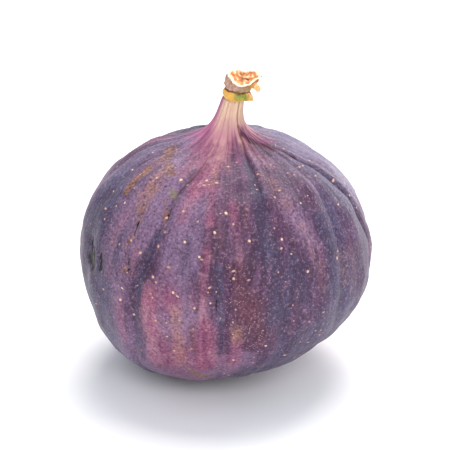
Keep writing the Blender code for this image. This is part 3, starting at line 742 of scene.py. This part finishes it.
    # Olive-dark painted shade in the grooves on the neck's right side
    right = ease(tree, side, 0.6, 0.9)
    shade = math_node(tree, "MULTIPLY", right, ease(tree, groove, 0.05, 0.35))
    paler = blend(tree, math_node(tree, "MULTIPLY", shade, 0.85), paler, NECK_OLIVE_SHADE)
    # Rose painted shade in the neck's creases
    paler = coat(tree, paler, NECK_ROSE, mask_of(tree, "crease_shade"), 0.1, 0.5, 0.4)
    reach = jitter(tree, neck, (streak, 0.3), (band, 0.6), (thread, 0.3))
    colour = coat(tree, colour, paler, reach, 0.08, 0.66)
    violet = jitter(tree, mask_of(tree, "violet"), (thread, 0.5), (band, 0.4), (mottle, 0.3))
    colour = coat(tree, colour, NECK_VIOLET, violet, 0.15, 1.0, 0.75)
    cream = jitter(tree, mask_of(tree, "cream"), (thread, 0.5), (band, 0.4), (mottle, 0.3))
    colour = coat(tree, colour, NECK_STREAK, cream, 0.1, 1.2, 0.6)

    # Painted shade darkens the creases between the ribs and the fold on the right shoulder, and fades out
    # on the neck
    crease_shade = jitter(tree, mask_of(tree, "crease_shade"), (thread, 0.25), (mottle, 0.35))
    crease_shade = math_node(tree, "MULTIPLY_ADD", neck, -0.42, crease_shade)
    colour = coat(tree, colour, CREASE_SHADE, crease_shade, 0.2, 0.9, 0.93)
    tree.links.new(colour, shader.inputs["Base Color"])

    rough = math_node(tree, "MULTIPLY_ADD", mottle, 0.25, 0.36)
    tree.links.new(rough, shader.inputs["Roughness"])
    shader.inputs["Specular IOR Level"].default_value = 0.27
    shader.inputs["Sheen Weight"].default_value = 0.06
    shader.inputs["Sheen Roughness"].default_value = 0.3
    shader.inputs["Sheen Tint"].default_value = (0.86, 0.82, 0.95, 1.0)
    bump(tree, shader, ((band, 0.25), (thread, 0.10), (mottle, 0.10), (grain, 0.06), (slit, -0.25)))
    return made


skin = make_skin()
skin.data.materials.append(skin_finish())
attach(skin, "root")
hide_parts("fruit")

# ---- The pores ----
# Pale corky pores stand a hair's breadth proud of the skin, scattered all over the body. They are
# part of the skin: the large ones are cream with a peach edge, the small ones only a faint dot.
LARGE_PORES = ((-22, 43), (0, 43), (-18, 29), (-5, 34), (-38, 20), (-12, 1), (-28, -8), (-21, 6),
               (10, 30), (24, 29), (4, -27), (33, 13), (-45, -3), (-33, 58), (-51, 55), (-14, 60),
               (-75, 51), (-30, 11), (-30, 25), (-11, 23), (-44, 24), (3, 14), (-58, 38), (49, 14),
               (-31, 39), (3, -42), (6, -44))
PORE_COUNT = 260
FAINT_COUNT = 420
FRECKLE_COUNT = 130
FRECKLE_PATCH = (0.0, 17.0, -17.0, 20.0)
PORE_SEED = 41
LARGE_SIZE = (0.32, 0.42)
PORE_SIZE = (0.19, 0.33)
FAINT_SIZE = (0.09, 0.15)
PORE_RINGS = ((1.0, -0.04), (0.72, 0.025), (0.36, 0.05))
PORE_TOP = 0.06
PORE_LEVELS = (-0.93, 0.955)
PORE_STRETCHES = (1.0, 1.15, 1.3, 1.9)
PORE_LEAN = 0.5


def along_at(bearing, latitude):
    """The rib count round the fig at a bearing and latitude."""
    counts = np.linspace(0.0, RIB_COUNT, 721)[:-1]
    found = np.degrees(ribs_at(counts, np.full(len(counts), float(latitude)))[0])
    apart = np.abs((found - bearing + 180.0) % 360.0 - 180.0)
    return counts[int(apart.argmin())]


def pore_spots():
    """Where the pores sit: ribs round the fig, latitude, size, stretch, turn, paleness."""
    draw = random.Random(PORE_SEED)
    spots = []
    for bearing, latitude in LARGE_PORES:
        size = draw.uniform(*LARGE_SIZE)
        spots.append((along_at(bearing, latitude), latitude, size, draw.uniform(1.0, 1.3),
                      draw.uniform(0.0, math.pi), 1.0))
    for count, sizes, paleness in ((PORE_COUNT, PORE_SIZE, (0.5, 1.0)),
                                   (FAINT_COUNT, FAINT_SIZE, (0.15, 0.5))):
        for _ in range(count):
            level = math.degrees(math.asin(draw.uniform(*PORE_LEVELS)))
            spots.append((draw.uniform(0.0, RIB_COUNT), level, draw.uniform(*sizes),
                          draw.choice(PORE_STRETCHES), draw.uniform(-PORE_LEAN, PORE_LEAN),
                          draw.uniform(*paleness)))
    left, right, low, high = FRECKLE_PATCH
    for _ in range(FRECKLE_COUNT):
        level = draw.uniform(low, high)
        spots.append((along_at(draw.uniform(left, right), level), level, draw.uniform(*FAINT_SIZE),
                      draw.choice((1.0, 1.3)), draw.uniform(-PORE_LEAN, PORE_LEAN),
                      draw.uniform(0.2, 0.6)))
    return spots


def make_pores():
    """All pores as one mesh of low domes, sunk a little into the skin."""
    spots = pore_spots()
    along, latitude = (np.array([spot[part] for spot in spots]) for part in (0, 1))
    middle = skin_place(along, latitude)
    round_it = skin_place(along + 0.01, latitude) - middle
    upwards = skin_place(along, latitude + 0.2) - middle
    round_it /= np.linalg.norm(round_it, axis=1, keepdims=True)
    facing = np.cross(round_it, upwards)
    facing /= np.linalg.norm(facing, axis=1, keepdims=True)
    upwards = np.cross(facing, round_it)
    points, faces, core, pale, warm = [], [], [], [], []
    draw = random.Random(PORE_SEED + 1)
    for number, (_, _, size, stretch, turn, paleness) in enumerate(spots):
        sides = 12 if size > PORE_SIZE[0] else 7
        first = len(points)
        warmth = draw.random()
        for reach, lift in PORE_RINGS:
            for step in range(sides):
                angle = 2.0 * math.pi * step / sides
                across, over = math.cos(angle) * reach * size * stretch, math.sin(angle) * reach * size
                side = across * math.cos(turn) - over * math.sin(turn)
                rise = across * math.sin(turn) + over * math.cos(turn)
                points.append(middle[number] + round_it[number] * side + upwards[number] * rise
                              + facing[number] * lift)
                core.append(1.0 - reach)
        points.append(middle[number] + facing[number] * PORE_TOP)
        core.append(1.0)
        made = len(PORE_RINGS) * sides + 1
        pale += [paleness] * made
        warm += [warmth] * made
        faces.extend(tuple(first + corner for corner in face)
                     for face in ring_faces(len(PORE_RINGS), sides, close_start=False))
    return make_mesh("skin_pores", points, faces, {"core": core, "pale": pale, "warm": warm})


PORE_EDGE, PORE_CREAM, PORE_PEACH = tint("7c4f62"), tint("e6ceac"), tint("d49e7e")


def pore_finish():
    """Dry cork: cream to peach in the middle, fading into the skin's mauve at the edge."""
    made, shader = finish("pore_cork", 0.65)
    tree = made.node_tree
    place = place_on(tree)
    grain = noise(tree, place, 5000.0, 2.0)
    middle = blend(tree, mask_of(tree, "warm"), PORE_CREAM, PORE_PEACH)
    middle = coat(tree, middle, PORE_EDGE, grain, 0.6, 0.35, 0.25)
    core = jitter(tree, mask_of(tree, "core"), (grain, 0.2))
    amount = math_node(tree, "MULTIPLY", ease(tree, core, 0.15, 0.6), mask_of(tree, "pale"))
    tree.links.new(blend(tree, amount, PORE_EDGE, middle), shader.inputs["Base Color"])
    bump(tree, shader, ((grain, 0.03),))
    return made


pores = make_pores()
pores.data.materials.append(pore_finish())
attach(pores, "root")

# ---- The collar of bracts ----
# Three small leathery bracts grown together in a ring round the top of the neck: yellow-orange
# on the left, green at the front, with a dry brown lip that stands out on the right.
COLLAR_CENTRE = 2.05
COLLAR_BOTTOM = 57.42
COLLAR_HEIGHT = 1.3
COLLAR_BORE = 2.15
COLLAR_TILT = 9.0
BRACT_COUNT = 3
BRACT_BEARING = -25.0
BRACT_LIP_SPREAD = 0.6
COLLAR_COLUMNS = 168
COLLAR_SECTION = (
    (0.0, 1.0, 0.0, 0.0),
    (0.0, 0.45, 0.0, 0.0),
    (0.30, 0.0, 0.05, -0.08),
    (0.48, 0.02, 0.34, -0.40),
    (0.62, 0.28, 0.40, -0.20),
    (0.50, 0.72, 0.15, 0.0),
    (0.25, 1.0, 0.0, 0.12),
)
COLLAR_STEPS = 5
COLLAR_LOBE = 0.45
LOBE_POWER = 1.3
COLLAR_DENTS = (0.035, (0.5, 2.2), 8)
DENT_COUNT = 14
GREEN_PATCHES = ((22.0, 44.0, 1.0), (-140.0, 30.0, 0.8))
BROWN_PATCH = (92.0, 20.0)


def smooth_rows(rows, steps, wrap=False):
    """More rows between the given ones, on a smooth curve through them."""
    rows = np.asarray(rows, dtype=float)
    count = len(rows)
    made = []
    for at in range(count if wrap else count - 1):
        if wrap:
            before, here, after, later = (rows[(at + k) % count] for k in (-1, 0, 1, 2))
        else:
            before, later = rows[max(at - 1, 0)], rows[min(at + 2, count - 1)]
            here, after = rows[at], rows[at + 1]
        for step in range(steps):
            t = step / steps
            made.append(0.5 * (2 * here + (after - before) * t
                               + (2 * before - 5 * here + 4 * after - later) * t ** 2
                               + (3 * here - before - 3 * after + later) * t ** 3))
    if not wrap:
        made.append(rows[-1])
    return np.array(made)


def crumple(points, size, lengths, seed):
    """Small random dents in all directions, as offsets in millimetres."""
    draw = random.Random(seed)
    total = np.zeros_like(points)
    for _ in range(DENT_COUNT):
        heading = random_heading(draw)
        push = np.array([draw.gauss(0.0, 1.0) for _ in range(3)])
        length = draw.uniform(*lengths)
        wave = np.sin(points @ heading * 2.0 * math.pi / length + draw.uniform(0.0, 6.28))
        total += wave[:, None] * push * (size * length / lengths[1])
    return total


def make_collar():
    """The ring of bracts, each fullest and lowest at its own tip, with a notch between two."""
    angle = ring_angles(COLLAR_COLUMNS)
    bearing = math.radians(BRACT_BEARING)
    lobe = (0.5 + 0.5 * np.cos(BRACT_COUNT * (angle + math.pi / 2.0 - bearing))) ** LOBE_POWER
    rise = -math.tan(math.radians(COLLAR_TILT))
    lip = np.exp(-(wrap_turn(angle) / BRACT_LIP_SPREAD) ** 2)
    rings = []
    for out, up, swell, drop in COLLAR_SECTION:
        radius = COLLAR_BORE + out + swell * (COLLAR_LOBE * lobe + lip)
        height = COLLAR_BOTTOM + up * COLLAR_HEIGHT + drop * lobe
        x, y = radius * np.cos(angle), radius * np.sin(angle)
        rings.append(np.stack((x + COLLAR_CENTRE, y, height + rise * x), axis=1))
    rings = smooth_rows(rings, COLLAR_STEPS, wrap=True)
    rows = len(rings)
    points = rings.reshape(-1, 3)
    points = points + crumple(points, *COLLAR_DENTS)
    front = np.tile(np.degrees(wrap_turn(angle + math.pi / 2.0)), rows)
    section = np.repeat(np.arange(rows) / rows, COLLAR_COLUMNS)
    green = sum(share * np.exp(-((front - at) / reach) ** 2) for at, reach, share in GREEN_PATCHES)
    brown = np.exp(-((front - BROWN_PATCH[0]) / BROWN_PATCH[1]) ** 2)
    masks = {"green": green, "brown": brown, "section": section,
             "twist": np.stack((np.cos(np.radians(front)), np.sin(np.radians(front)),
                                section * 0.6), axis=1)}
    return make_mesh("bract_ring", points, ring_faces(rows, COLLAR_COLUMNS, False, False, True), masks)


BRACT_YELLOW, BRACT_ORANGE, BRACT_PALE = tint("ecc25c"), tint("e0983c"), tint("f4e0a4")
BRACT_GREEN, BRACT_DARK_GREEN = tint("9ca234"), tint("6e7a2c")
BRACT_BROWN, BRACT_DARK = tint("b47a3c"), tint("5e4030")


def bract_finish():
    """Fleshy, slightly glossy bracts that ripen from green to orange, dry and brown at the lip."""
    made, shader = finish("bract_flesh", 0.42)
    tree = made.node_tree
    place = place_on(tree)
    fibre = noise(tree, mask_of(tree, "twist", vector=True), 14.0, 3.0, 0.6)
    blotch = noise(tree, place, 1100.0, 3.0, 0.6)
    section = mask_of(tree, "section")
    colour = coat(tree, BRACT_ORANGE, BRACT_YELLOW, fibre, 0.35, 0.65)
    colour = coat(tree, colour, BRACT_PALE, section, 0.5, 0.3, 0.7)
    leaf = coat(tree, BRACT_DARK_GREEN, BRACT_GREEN, blotch, 0.4, 0.65)
    green = jitter(tree, mask_of(tree, "green"), (fibre, 0.5), (blotch, 0.4))
    upper = ease(tree, section, 0.44, 0.6)
    colour = blend(tree, math_node(tree, "MULTIPLY", ease(tree, green, 0.2, 1.0), upper), colour, leaf)
    dry = jitter(tree, mask_of(tree, "brown"), (blotch, 0.5))
    bark = coat(tree, BRACT_DARK, BRACT_BROWN, blotch, 0.35, 0.6)
    colour = coat(tree, colour, bark, dry, 0.35, 0.8, 0.85)
    edge = jitter(tree, ease(tree, section, 0.74, 0.86), (blotch, 0.6))
    colour = coat(tree, colour, bark, edge, 0.5, 1.1, 0.7)
    tree.links.new(colour, shader.inputs["Base Color"])
    shader.inputs["Subsurface Weight"].default_value = 0.15
    shader.inputs["Subsurface Radius"].default_value = (0.8, 0.5, 0.15)
    shader.inputs["Subsurface Scale"].default_value = 0.001
    bump(tree, shader, ((fibre, 0.08), (blotch, 0.05)))
    return made


collar = make_collar()
collar.data.materials.append(bract_finish())
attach(collar, "root")
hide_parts("bract_collar")

# ---- The stalk ----
# The woody stub that the fig was picked by: a fibrous brown bark that swells over the collar, torn
# off at a slant. The cut shows a raised cream rim round orange pith with a dark cleft in it.
STALK_RINGS = (
    (1.90, 57.80, 1.60, 1.60, 0.0, 0.0),
    (1.95, 58.30, 1.80, 1.80, 4.0, 0.0),
    (2.05, 58.75, 1.83, 1.83, 8.0, 2.0),
    (2.15, 59.35, 2.50, 2.20, 14.0, 4.0),
    (2.45, 60.05, 2.72, 2.30, 11.0, 9.0),
    (3.05, 60.80, 2.95, 2.40, 4.0, 14.0),
    (3.45, 61.45, 3.25, 2.70, 0.0, 18.0),
)
STALK_LOBING = (0.0, 0.0, 0.02, 0.05, 0.09, 0.14, 0.17)
STALK_TURN = 0.17
STALK_COLUMNS = 160
STALK_STEPS = 6
RIM_WIDTH = 0.65
RIM_CREST = 0.22
PITH_DEPTH = 0.45
PITH_SHARES = (0.86, 0.72, 0.55, 0.38, 0.22, 0.1)
CLEFT_DEPTH = 0.24
CLEFT_SPREAD = 20.0
STALK_CORNERS = 3.0
RIM_SHARES = (0.12, 0.3, 0.5, 0.7, 0.88, 1.0)
RIM_ZONES = (0.15, 0.3, 0.42, 0.5, 0.55, 0.62, 0.7)
BARK_ZONES = (0.0, 0.08)
PITH_ZONES = (0.8, 1.0)
BARK_DENTS = 0.05
RIM_DENTS = 0.045
PITH_DENTS = 0.10
HEART_DROP = 0.5
STALK_GRAIN_PITCH = 0.12


def tilted_ring(row, lobing):
    """A three-cornered ring with a cleft at its back, tilted to the right and to the front."""
    x, z, across, deep, tilt_right, tilt_front = row
    angle = ring_angles(STALK_COLUMNS)
    back = wrap_turn(angle - math.pi / 2.0)
    cleft = CLEFT_DEPTH * (lobing / STALK_LOBING[-1]) * np.exp(
        -(np.degrees(back) / CLEFT_SPREAD) ** 2)
    reach = 1.0 + lobing * np.cos(STALK_CORNERS * (angle + math.pi / 2.0 + STALK_TURN)) - cleft
    side, rear = across * reach * np.cos(angle), deep * reach * np.sin(angle)
    rise = -side * math.tan(math.radians(tilt_right)) + rear * math.tan(math.radians(tilt_front))
    return np.stack((side + x, rear, rise + z), axis=1)


def shrink_ring(ring, share, drop):
    """The same ring drawn in towards its middle and let down."""
    middle = ring.mean(axis=0)
    drawn = middle + (ring - middle) * share
    drawn[:, 2] -= drop
    return drawn


def make_stalk():
    """The stub: bark rings up to the slanting end, then the rim, the pith and its heart."""
    bark = smooth_rows([tilted_ring(row, lobing) for row, lobing in zip(STALK_RINGS, STALK_LOBING)],
                       STALK_STEPS)
    rim = bark[-1]
    inner = 1.0 - RIM_WIDTH / STALK_RINGS[-1][2]
    cut = [shrink_ring(rim, 1.0 - (1.0 - inner) * part, -RIM_CREST * math.sin(math.pi * part ** 0.7))
           for part in RIM_SHARES]
    cut += [shrink_ring(rim, inner * share, PITH_DEPTH * min(1.0, (1.0 - share) * 3.0))
            for share in PITH_SHARES]
    rings = np.concatenate((bark, np.array(cut)))
    rows = len(rings)
    level = np.concatenate((np.linspace(*BARK_ZONES, len(bark) - 1), RIM_ZONES,
                            np.linspace(*PITH_ZONES, len(PITH_SHARES))))
    points = rings.reshape(-1, 3)
    zone = np.repeat(level, STALK_COLUMNS)
    inside = np.where(zone < 0.75, RIM_DENTS, PITH_DENTS)
    rough = np.where(zone < 0.1, BARK_DENTS, inside)[:, None]
    points = points + crumple(points, 1.0, (0.45, 1.8), 31) * rough
    angle = np.tile(ring_angles(STALK_COLUMNS), rows)
    ends = np.array((rings[0].mean(axis=0), rings[-1].mean(axis=0) - (0.0, 0.0, HEART_DROP)))
    points = np.concatenate((points, ends))
    zone = np.concatenate((zone, (0.0, 1.0)))
    angle = np.concatenate((angle, (0.0, 0.0)))
    height = points[:, 2] - STALK_RINGS[0][1]
    grain = np.stack((np.cos(angle), np.sin(angle), height * STALK_GRAIN_PITCH), axis=1)
    masks = {"zone": zone, "grain": grain, "right": 0.5 + 0.5 * np.cos(angle)}
    return make_mesh("stalk_stub", points, ring_faces(rows, STALK_COLUMNS), masks)


BARK_MAUVE, BARK_BROWN, BARK_OLIVE = tint("cba89c"), tint("a57858"), tint("a08c58")
BARK_RED = tint("bc6c32")
RIM_CREAM, RIM_WHITE = tint("f4e2b8"), tint("fbf2dc")
PITH_ORANGE, PITH_RED = tint("e2a066"), tint("c8703e")
PITH_CREAM, PITH_HOLE = tint("f6dfb4"), tint("6a3a1c")


def stalk_finish():
    """Dusty mauve-brown bark, a red-brown line under the rim, and moist cream and orange inside."""
    made, shader = finish("stalk_wood", 0.7)
    tree = made.node_tree
    place = place_on(tree)
    fibre = noise(tree, mask_of(tree, "grain", vector=True), 9.0, 4.0, 0.65)
    blotch = noise(tree, place, 900.0, 3.0, 0.6)
    lump = noise(tree, place, 1500.0, 2.0, 0.5)
    zone = mask_of(tree, "zone")
    colour = coat(tree, BARK_BROWN, BARK_MAUVE, fibre, 0.35, 0.65)
    colour = coat(tree, colour, BARK_OLIVE,
                  jitter(tree, mask_of(tree, "right"), (blotch, 0.9)), 0.35, 0.8, 0.7)
    line = math_node(tree, "MULTIPLY", ease(tree, zone, 0.055, 0.08),
                     math_node(tree, "MULTIPLY_ADD", mask_of(tree, "right"), 0.8, 0.35))
    colour = coat(tree, colour, BARK_RED, jitter(tree, line, (fibre, 0.6), (lump, 0.5)), 0.3, 0.9, 0.9)
    rim = coat(tree, RIM_CREAM, RIM_WHITE, blotch, 0.35, 0.6)
    colour = coat(tree, colour, rim, zone, 0.08, 0.3)
    pith = coat(tree, PITH_RED, PITH_ORANGE, lump, 0.38, 0.55)
    pith = coat(tree, pith, PITH_CREAM, lump, 0.52, 0.66)
    colour = coat(tree, colour, pith, jitter(tree, zone, (blotch, 0.12)), 0.62, 0.76)
    colour = coat(tree, colour, PITH_HOLE, zone, 0.93, 1.0)
    tree.links.new(colour, shader.inputs["Base Color"])
    shader.inputs["Subsurface Weight"].default_value = 0.1
    shader.inputs["Subsurface Radius"].default_value = (0.8, 0.45, 0.2)
    shader.inputs["Subsurface Scale"].default_value = 0.0008
    bump(tree, shader, ((fibre, 0.12), (blotch, 0.08), (lump, 0.06)))
    return made


stalk = make_stalk()
stalk.data.materials.append(stalk_finish())
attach(stalk, "root")
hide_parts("stalk")

# ---- The torn flap ----
# A strip of the stalk's peel, torn loose on the right when the fig was picked. It hangs from the
# bark below the right corner, cream inside and brown where its edge has dried.
FLAP_ROOT = (5.0, -0.9, 60.5)
FLAP_TIP = (6.6, -1.5, 58.95)
FLAP_WIDTH = 0.75
FLAP_THICKNESS = 0.45
FLAP_FACES = (0.3, -1.0, 0.4)
FLAP_SECTIONS = ((0.0, 1.0), (0.35, 1.0), (0.7, 0.85), (0.92, 0.55))
FLAP_COLUMNS = 40
FLAP_DENTS = (0.06, (0.5, 1.8), 77)
FLAP_PEACH, FLAP_CREAM = tint("e8b06c"), tint("f6dca4")


def make_flap():
    """The flap: a tapering tongue with a blunt, crumpled tip."""
    root, tip = np.array(FLAP_ROOT), np.array(FLAP_TIP)
    along = tip - root
    side = np.cross(along, FLAP_FACES)
    side /= np.linalg.norm(side)
    over = np.cross(side, along)
    over /= np.linalg.norm(over)
    angle = ring_angles(FLAP_COLUMNS)
    rings = [root + along * share + np.cos(angle)[:, None] * side * FLAP_WIDTH * swell
             + np.sin(angle)[:, None] * over * FLAP_THICKNESS * swell
             for share, swell in FLAP_SECTIONS]
    rings = smooth_rows(rings, 6)
    rows = len(rings)
    points = rings.reshape(-1, 3)
    points = points + crumple(points, *FLAP_DENTS)
    points = np.concatenate((points, np.array((root, tip))))
    share = np.concatenate((np.repeat(np.arange(rows) / rows, FLAP_COLUMNS), (0.0, 1.0)))
    return make_mesh("stalk_flap", points, ring_faces(rows, FLAP_COLUMNS), {"share": share})


def flap_finish():
    """Cream peel with peach and brown stains, darkest at the tip."""
    made, shader = finish("flap_peel", 0.6)
    tree = made.node_tree
    place = place_on(tree)
    blotch = noise(tree, place, 1300.0, 3.0, 0.6)
    share = mask_of(tree, "share")
    colour = coat(tree, FLAP_PEACH, FLAP_CREAM, blotch, 0.4, 0.65)
    root = jitter(tree, share, (blotch, 0.6))
    colour = coat(tree, colour, BARK_RED, root, 0.4, 0.1, 0.8)
    colour = coat(tree, colour, BARK_BROWN, root, 0.8, 1.05, 0.8)
    tree.links.new(colour, shader.inputs["Base Color"])
    bump(tree, shader, ((blotch, 0.08),))
    return made


flap = make_flap()
flap.data.materials.append(flap_finish())
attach(flap, "root")

# ---- The eye ----
# The closed mouth of the fig, in the hollow of its foot: whorls of small reddish scales that
# overlap like shingles, rooted round its edge with their points turned in.
EYE_DISC = (2.8, 0.95, 1.35)
EYE_WHORLS = ((7, 2.45, 0.95, 1.05, 0.0), (6, 1.75, 0.45, 0.85, 24.0), (3, 1.05, 0.05, 0.65, 50.0))
SCALE_LOWEST = 0.38
SCALE_STEP = 0.13
SCALE_STAGGER = 0.04
SCALE_THICKNESS = 0.3
SCALE_SECTIONS = ((0.0, 0.95), (0.3, 1.0), (0.65, 0.72), (0.9, 0.3))
SCALE_COLUMNS = 24
DISC_COLUMNS = 64
SCALE_RED, SCALE_ROSE, SCALE_TIP = tint("5c2438"), tint("8c4048"), tint("c99a6c")


def make_eye():
    """The scales on their thin disc, as one mesh."""
    points, faces, share = [], [], []

    def add(rings, ends, shares):
        first = len(points)
        for ring in rings:
            points.extend(ring)
        points.extend(ends)
        columns = len(rings[0])
        faces.extend(tuple(first + corner for corner in face)
                     for face in ring_faces(len(rings), columns))
        share.extend(np.repeat(shares, columns))
        share.extend((shares[0], shares[-1]))

    radius, low, high = EYE_DISC
    angle = ring_angles(DISC_COLUMNS)
    disc = [flat_ring(reach, height, FOOT_SHIFT, angle)
            for reach, height in ((radius * 0.96, low), (radius, low + 0.1), (radius, high))]
    add(disc, ((FOOT_SHIFT, 0.0, low), (FOOT_SHIFT, 0.0, high)), (0.0, 0.0, 0.0))
    angle = ring_angles(SCALE_COLUMNS)
    for level, (count, root, tip, width, turn) in enumerate(EYE_WHORLS):
        for number in range(count):
            bearing = math.radians(turn + 360.0 * number / count)
            edge = SCALE_LOWEST + SCALE_STEP * level + SCALE_STAGGER * (number % 2)
            rings = []
            for part, swell in SCALE_SECTIONS:
                reach = root + (tip - root) * part
                side = width * swell * np.cos(angle)
                up = edge + (1.0 - part) ** 2 * SCALE_THICKNESS
                up = up + SCALE_THICKNESS * (0.5 + 0.5 * np.sin(angle)) * (0.4 + 0.6 * swell)
                x = reach * math.sin(bearing) + side * math.cos(bearing) + FOOT_SHIFT
                y = -reach * math.cos(bearing) + side * math.sin(bearing)
                rings.append(np.stack((x, y, up), axis=1))
            rings = smooth_rows(rings, 4)
            add(list(rings), (rings[0].mean(axis=0), rings[-1].mean(axis=0)),
                np.linspace(0.0, 1.0, len(rings)))
    return make_mesh("eye_mouth", points, faces, {"share": share})


def eye_finish():
    """Papery red-brown scales with pale, dry tips."""
    made, shader = finish("eye_scale", 0.6)
    tree = made.node_tree
    place = place_on(tree)
    blotch = noise(tree, place, 1500.0, 3.0, 0.6)
    share = jitter(tree, mask_of(tree, "share"), (blotch, 0.5))
    colour = coat(tree, SCALE_RED, SCALE_ROSE, blotch, 0.35, 0.65)
    colour = coat(tree, colour, SCALE_TIP, share, 0.6, 1.0, 0.8)
    tree.links.new(colour, shader.inputs["Base Color"])
    bump(tree, shader, ((blotch, 0.06),))
    return made


eye = make_eye()
eye.data.materials.append(eye_finish())
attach(eye, "root")
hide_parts("eye_scales")

# ---- The table, the light and the camera ----
# A white table top that runs out of sight, under an even white sky and a large soft lamp above,
# so that the fig casts only a soft grey shadow at its foot.
FIG_MIDDLE = (0.0, 0.0, 0.0300)
CAMERA_DISTANCE = 0.482
CAMERA_ELEVATION = 23.0
FRAME_WIDTH = 0.0900
SENSOR = 36.0
TABLE_REACH = 6.0
LAMP_WHITE = (1.0, 0.97, 0.92)

floor_mesh = bpy.data.meshes.new("table_top")
corners = [(x * TABLE_REACH, y * TABLE_REACH, 0.0) for x, y in ((-1, -1), (1, -1), (1, 1), (-1, 1))]
floor_mesh.from_pydata(corners, [], [(0, 1, 2, 3)])
floor = bpy.data.objects.new("table_top", floor_mesh)
bpy.context.scene.collection.objects.link(floor)
floor_white, floor_shader = finish("table_white", 0.9)
floor_shader.inputs["Base Color"].default_value = (0.93, 0.93, 0.94, 1.0)
floor_shader.inputs["Specular IOR Level"].default_value = 0.1
floor_mesh.materials.append(floor_white)

sky = bpy.data.worlds.new("studio")
sky.use_nodes = True
sky.node_tree.nodes["Background"].inputs["Color"].default_value = (0.85, 0.91, 1.0, 1.0)
sky.node_tree.nodes["Background"].inputs["Strength"].default_value = 0.75
bpy.context.scene.world = sky


def soft_lamp(name, place, size, power, colour=(1.0, 1.0, 1.0)):
    """A square soft lamp that faces the fig."""
    lamp = bpy.data.lights.new(name, "AREA")
    lamp.size = size
    lamp.energy = power
    lamp.color = colour
    holder = bpy.data.objects.new(name, lamp)
    bpy.context.scene.collection.objects.link(holder)
    holder.location = place
    heading = [goal - start for goal, start in zip(FIG_MIDDLE, place)]
    holder.rotation_euler = mathutils.Vector(heading).to_track_quat("-Z", "Y").to_euler()


soft_lamp("lamp_above", (0.12, 0.35, 0.85), 0.6, 9.0, LAMP_WHITE)
soft_lamp("lamp_front", (0.25, -0.9, 0.6), 0.6, 5.0, LAMP_WHITE)
soft_lamp("lamp_side", (0.6, 0.8, 0.25), 0.5, 3.5)

view = bpy.data.cameras.new("view")
view.sensor_width = SENSOR
view.lens = SENSOR * CAMERA_DISTANCE / FRAME_WIDTH
view.clip_start = 0.01
camera = bpy.data.objects.new("view", view)
bpy.context.scene.collection.objects.link(camera)
lift = math.radians(CAMERA_ELEVATION)
camera.location = (FIG_MIDDLE[0], FIG_MIDDLE[1] - CAMERA_DISTANCE * math.cos(lift),
                   FIG_MIDDLE[2] + CAMERA_DISTANCE * math.sin(lift))
camera.rotation_euler = (math.radians(90.0 - CAMERA_ELEVATION), 0.0, 0.0)
bpy.context.scene.camera = camera
bpy.context.scene.view_settings.view_transform = "Standard"
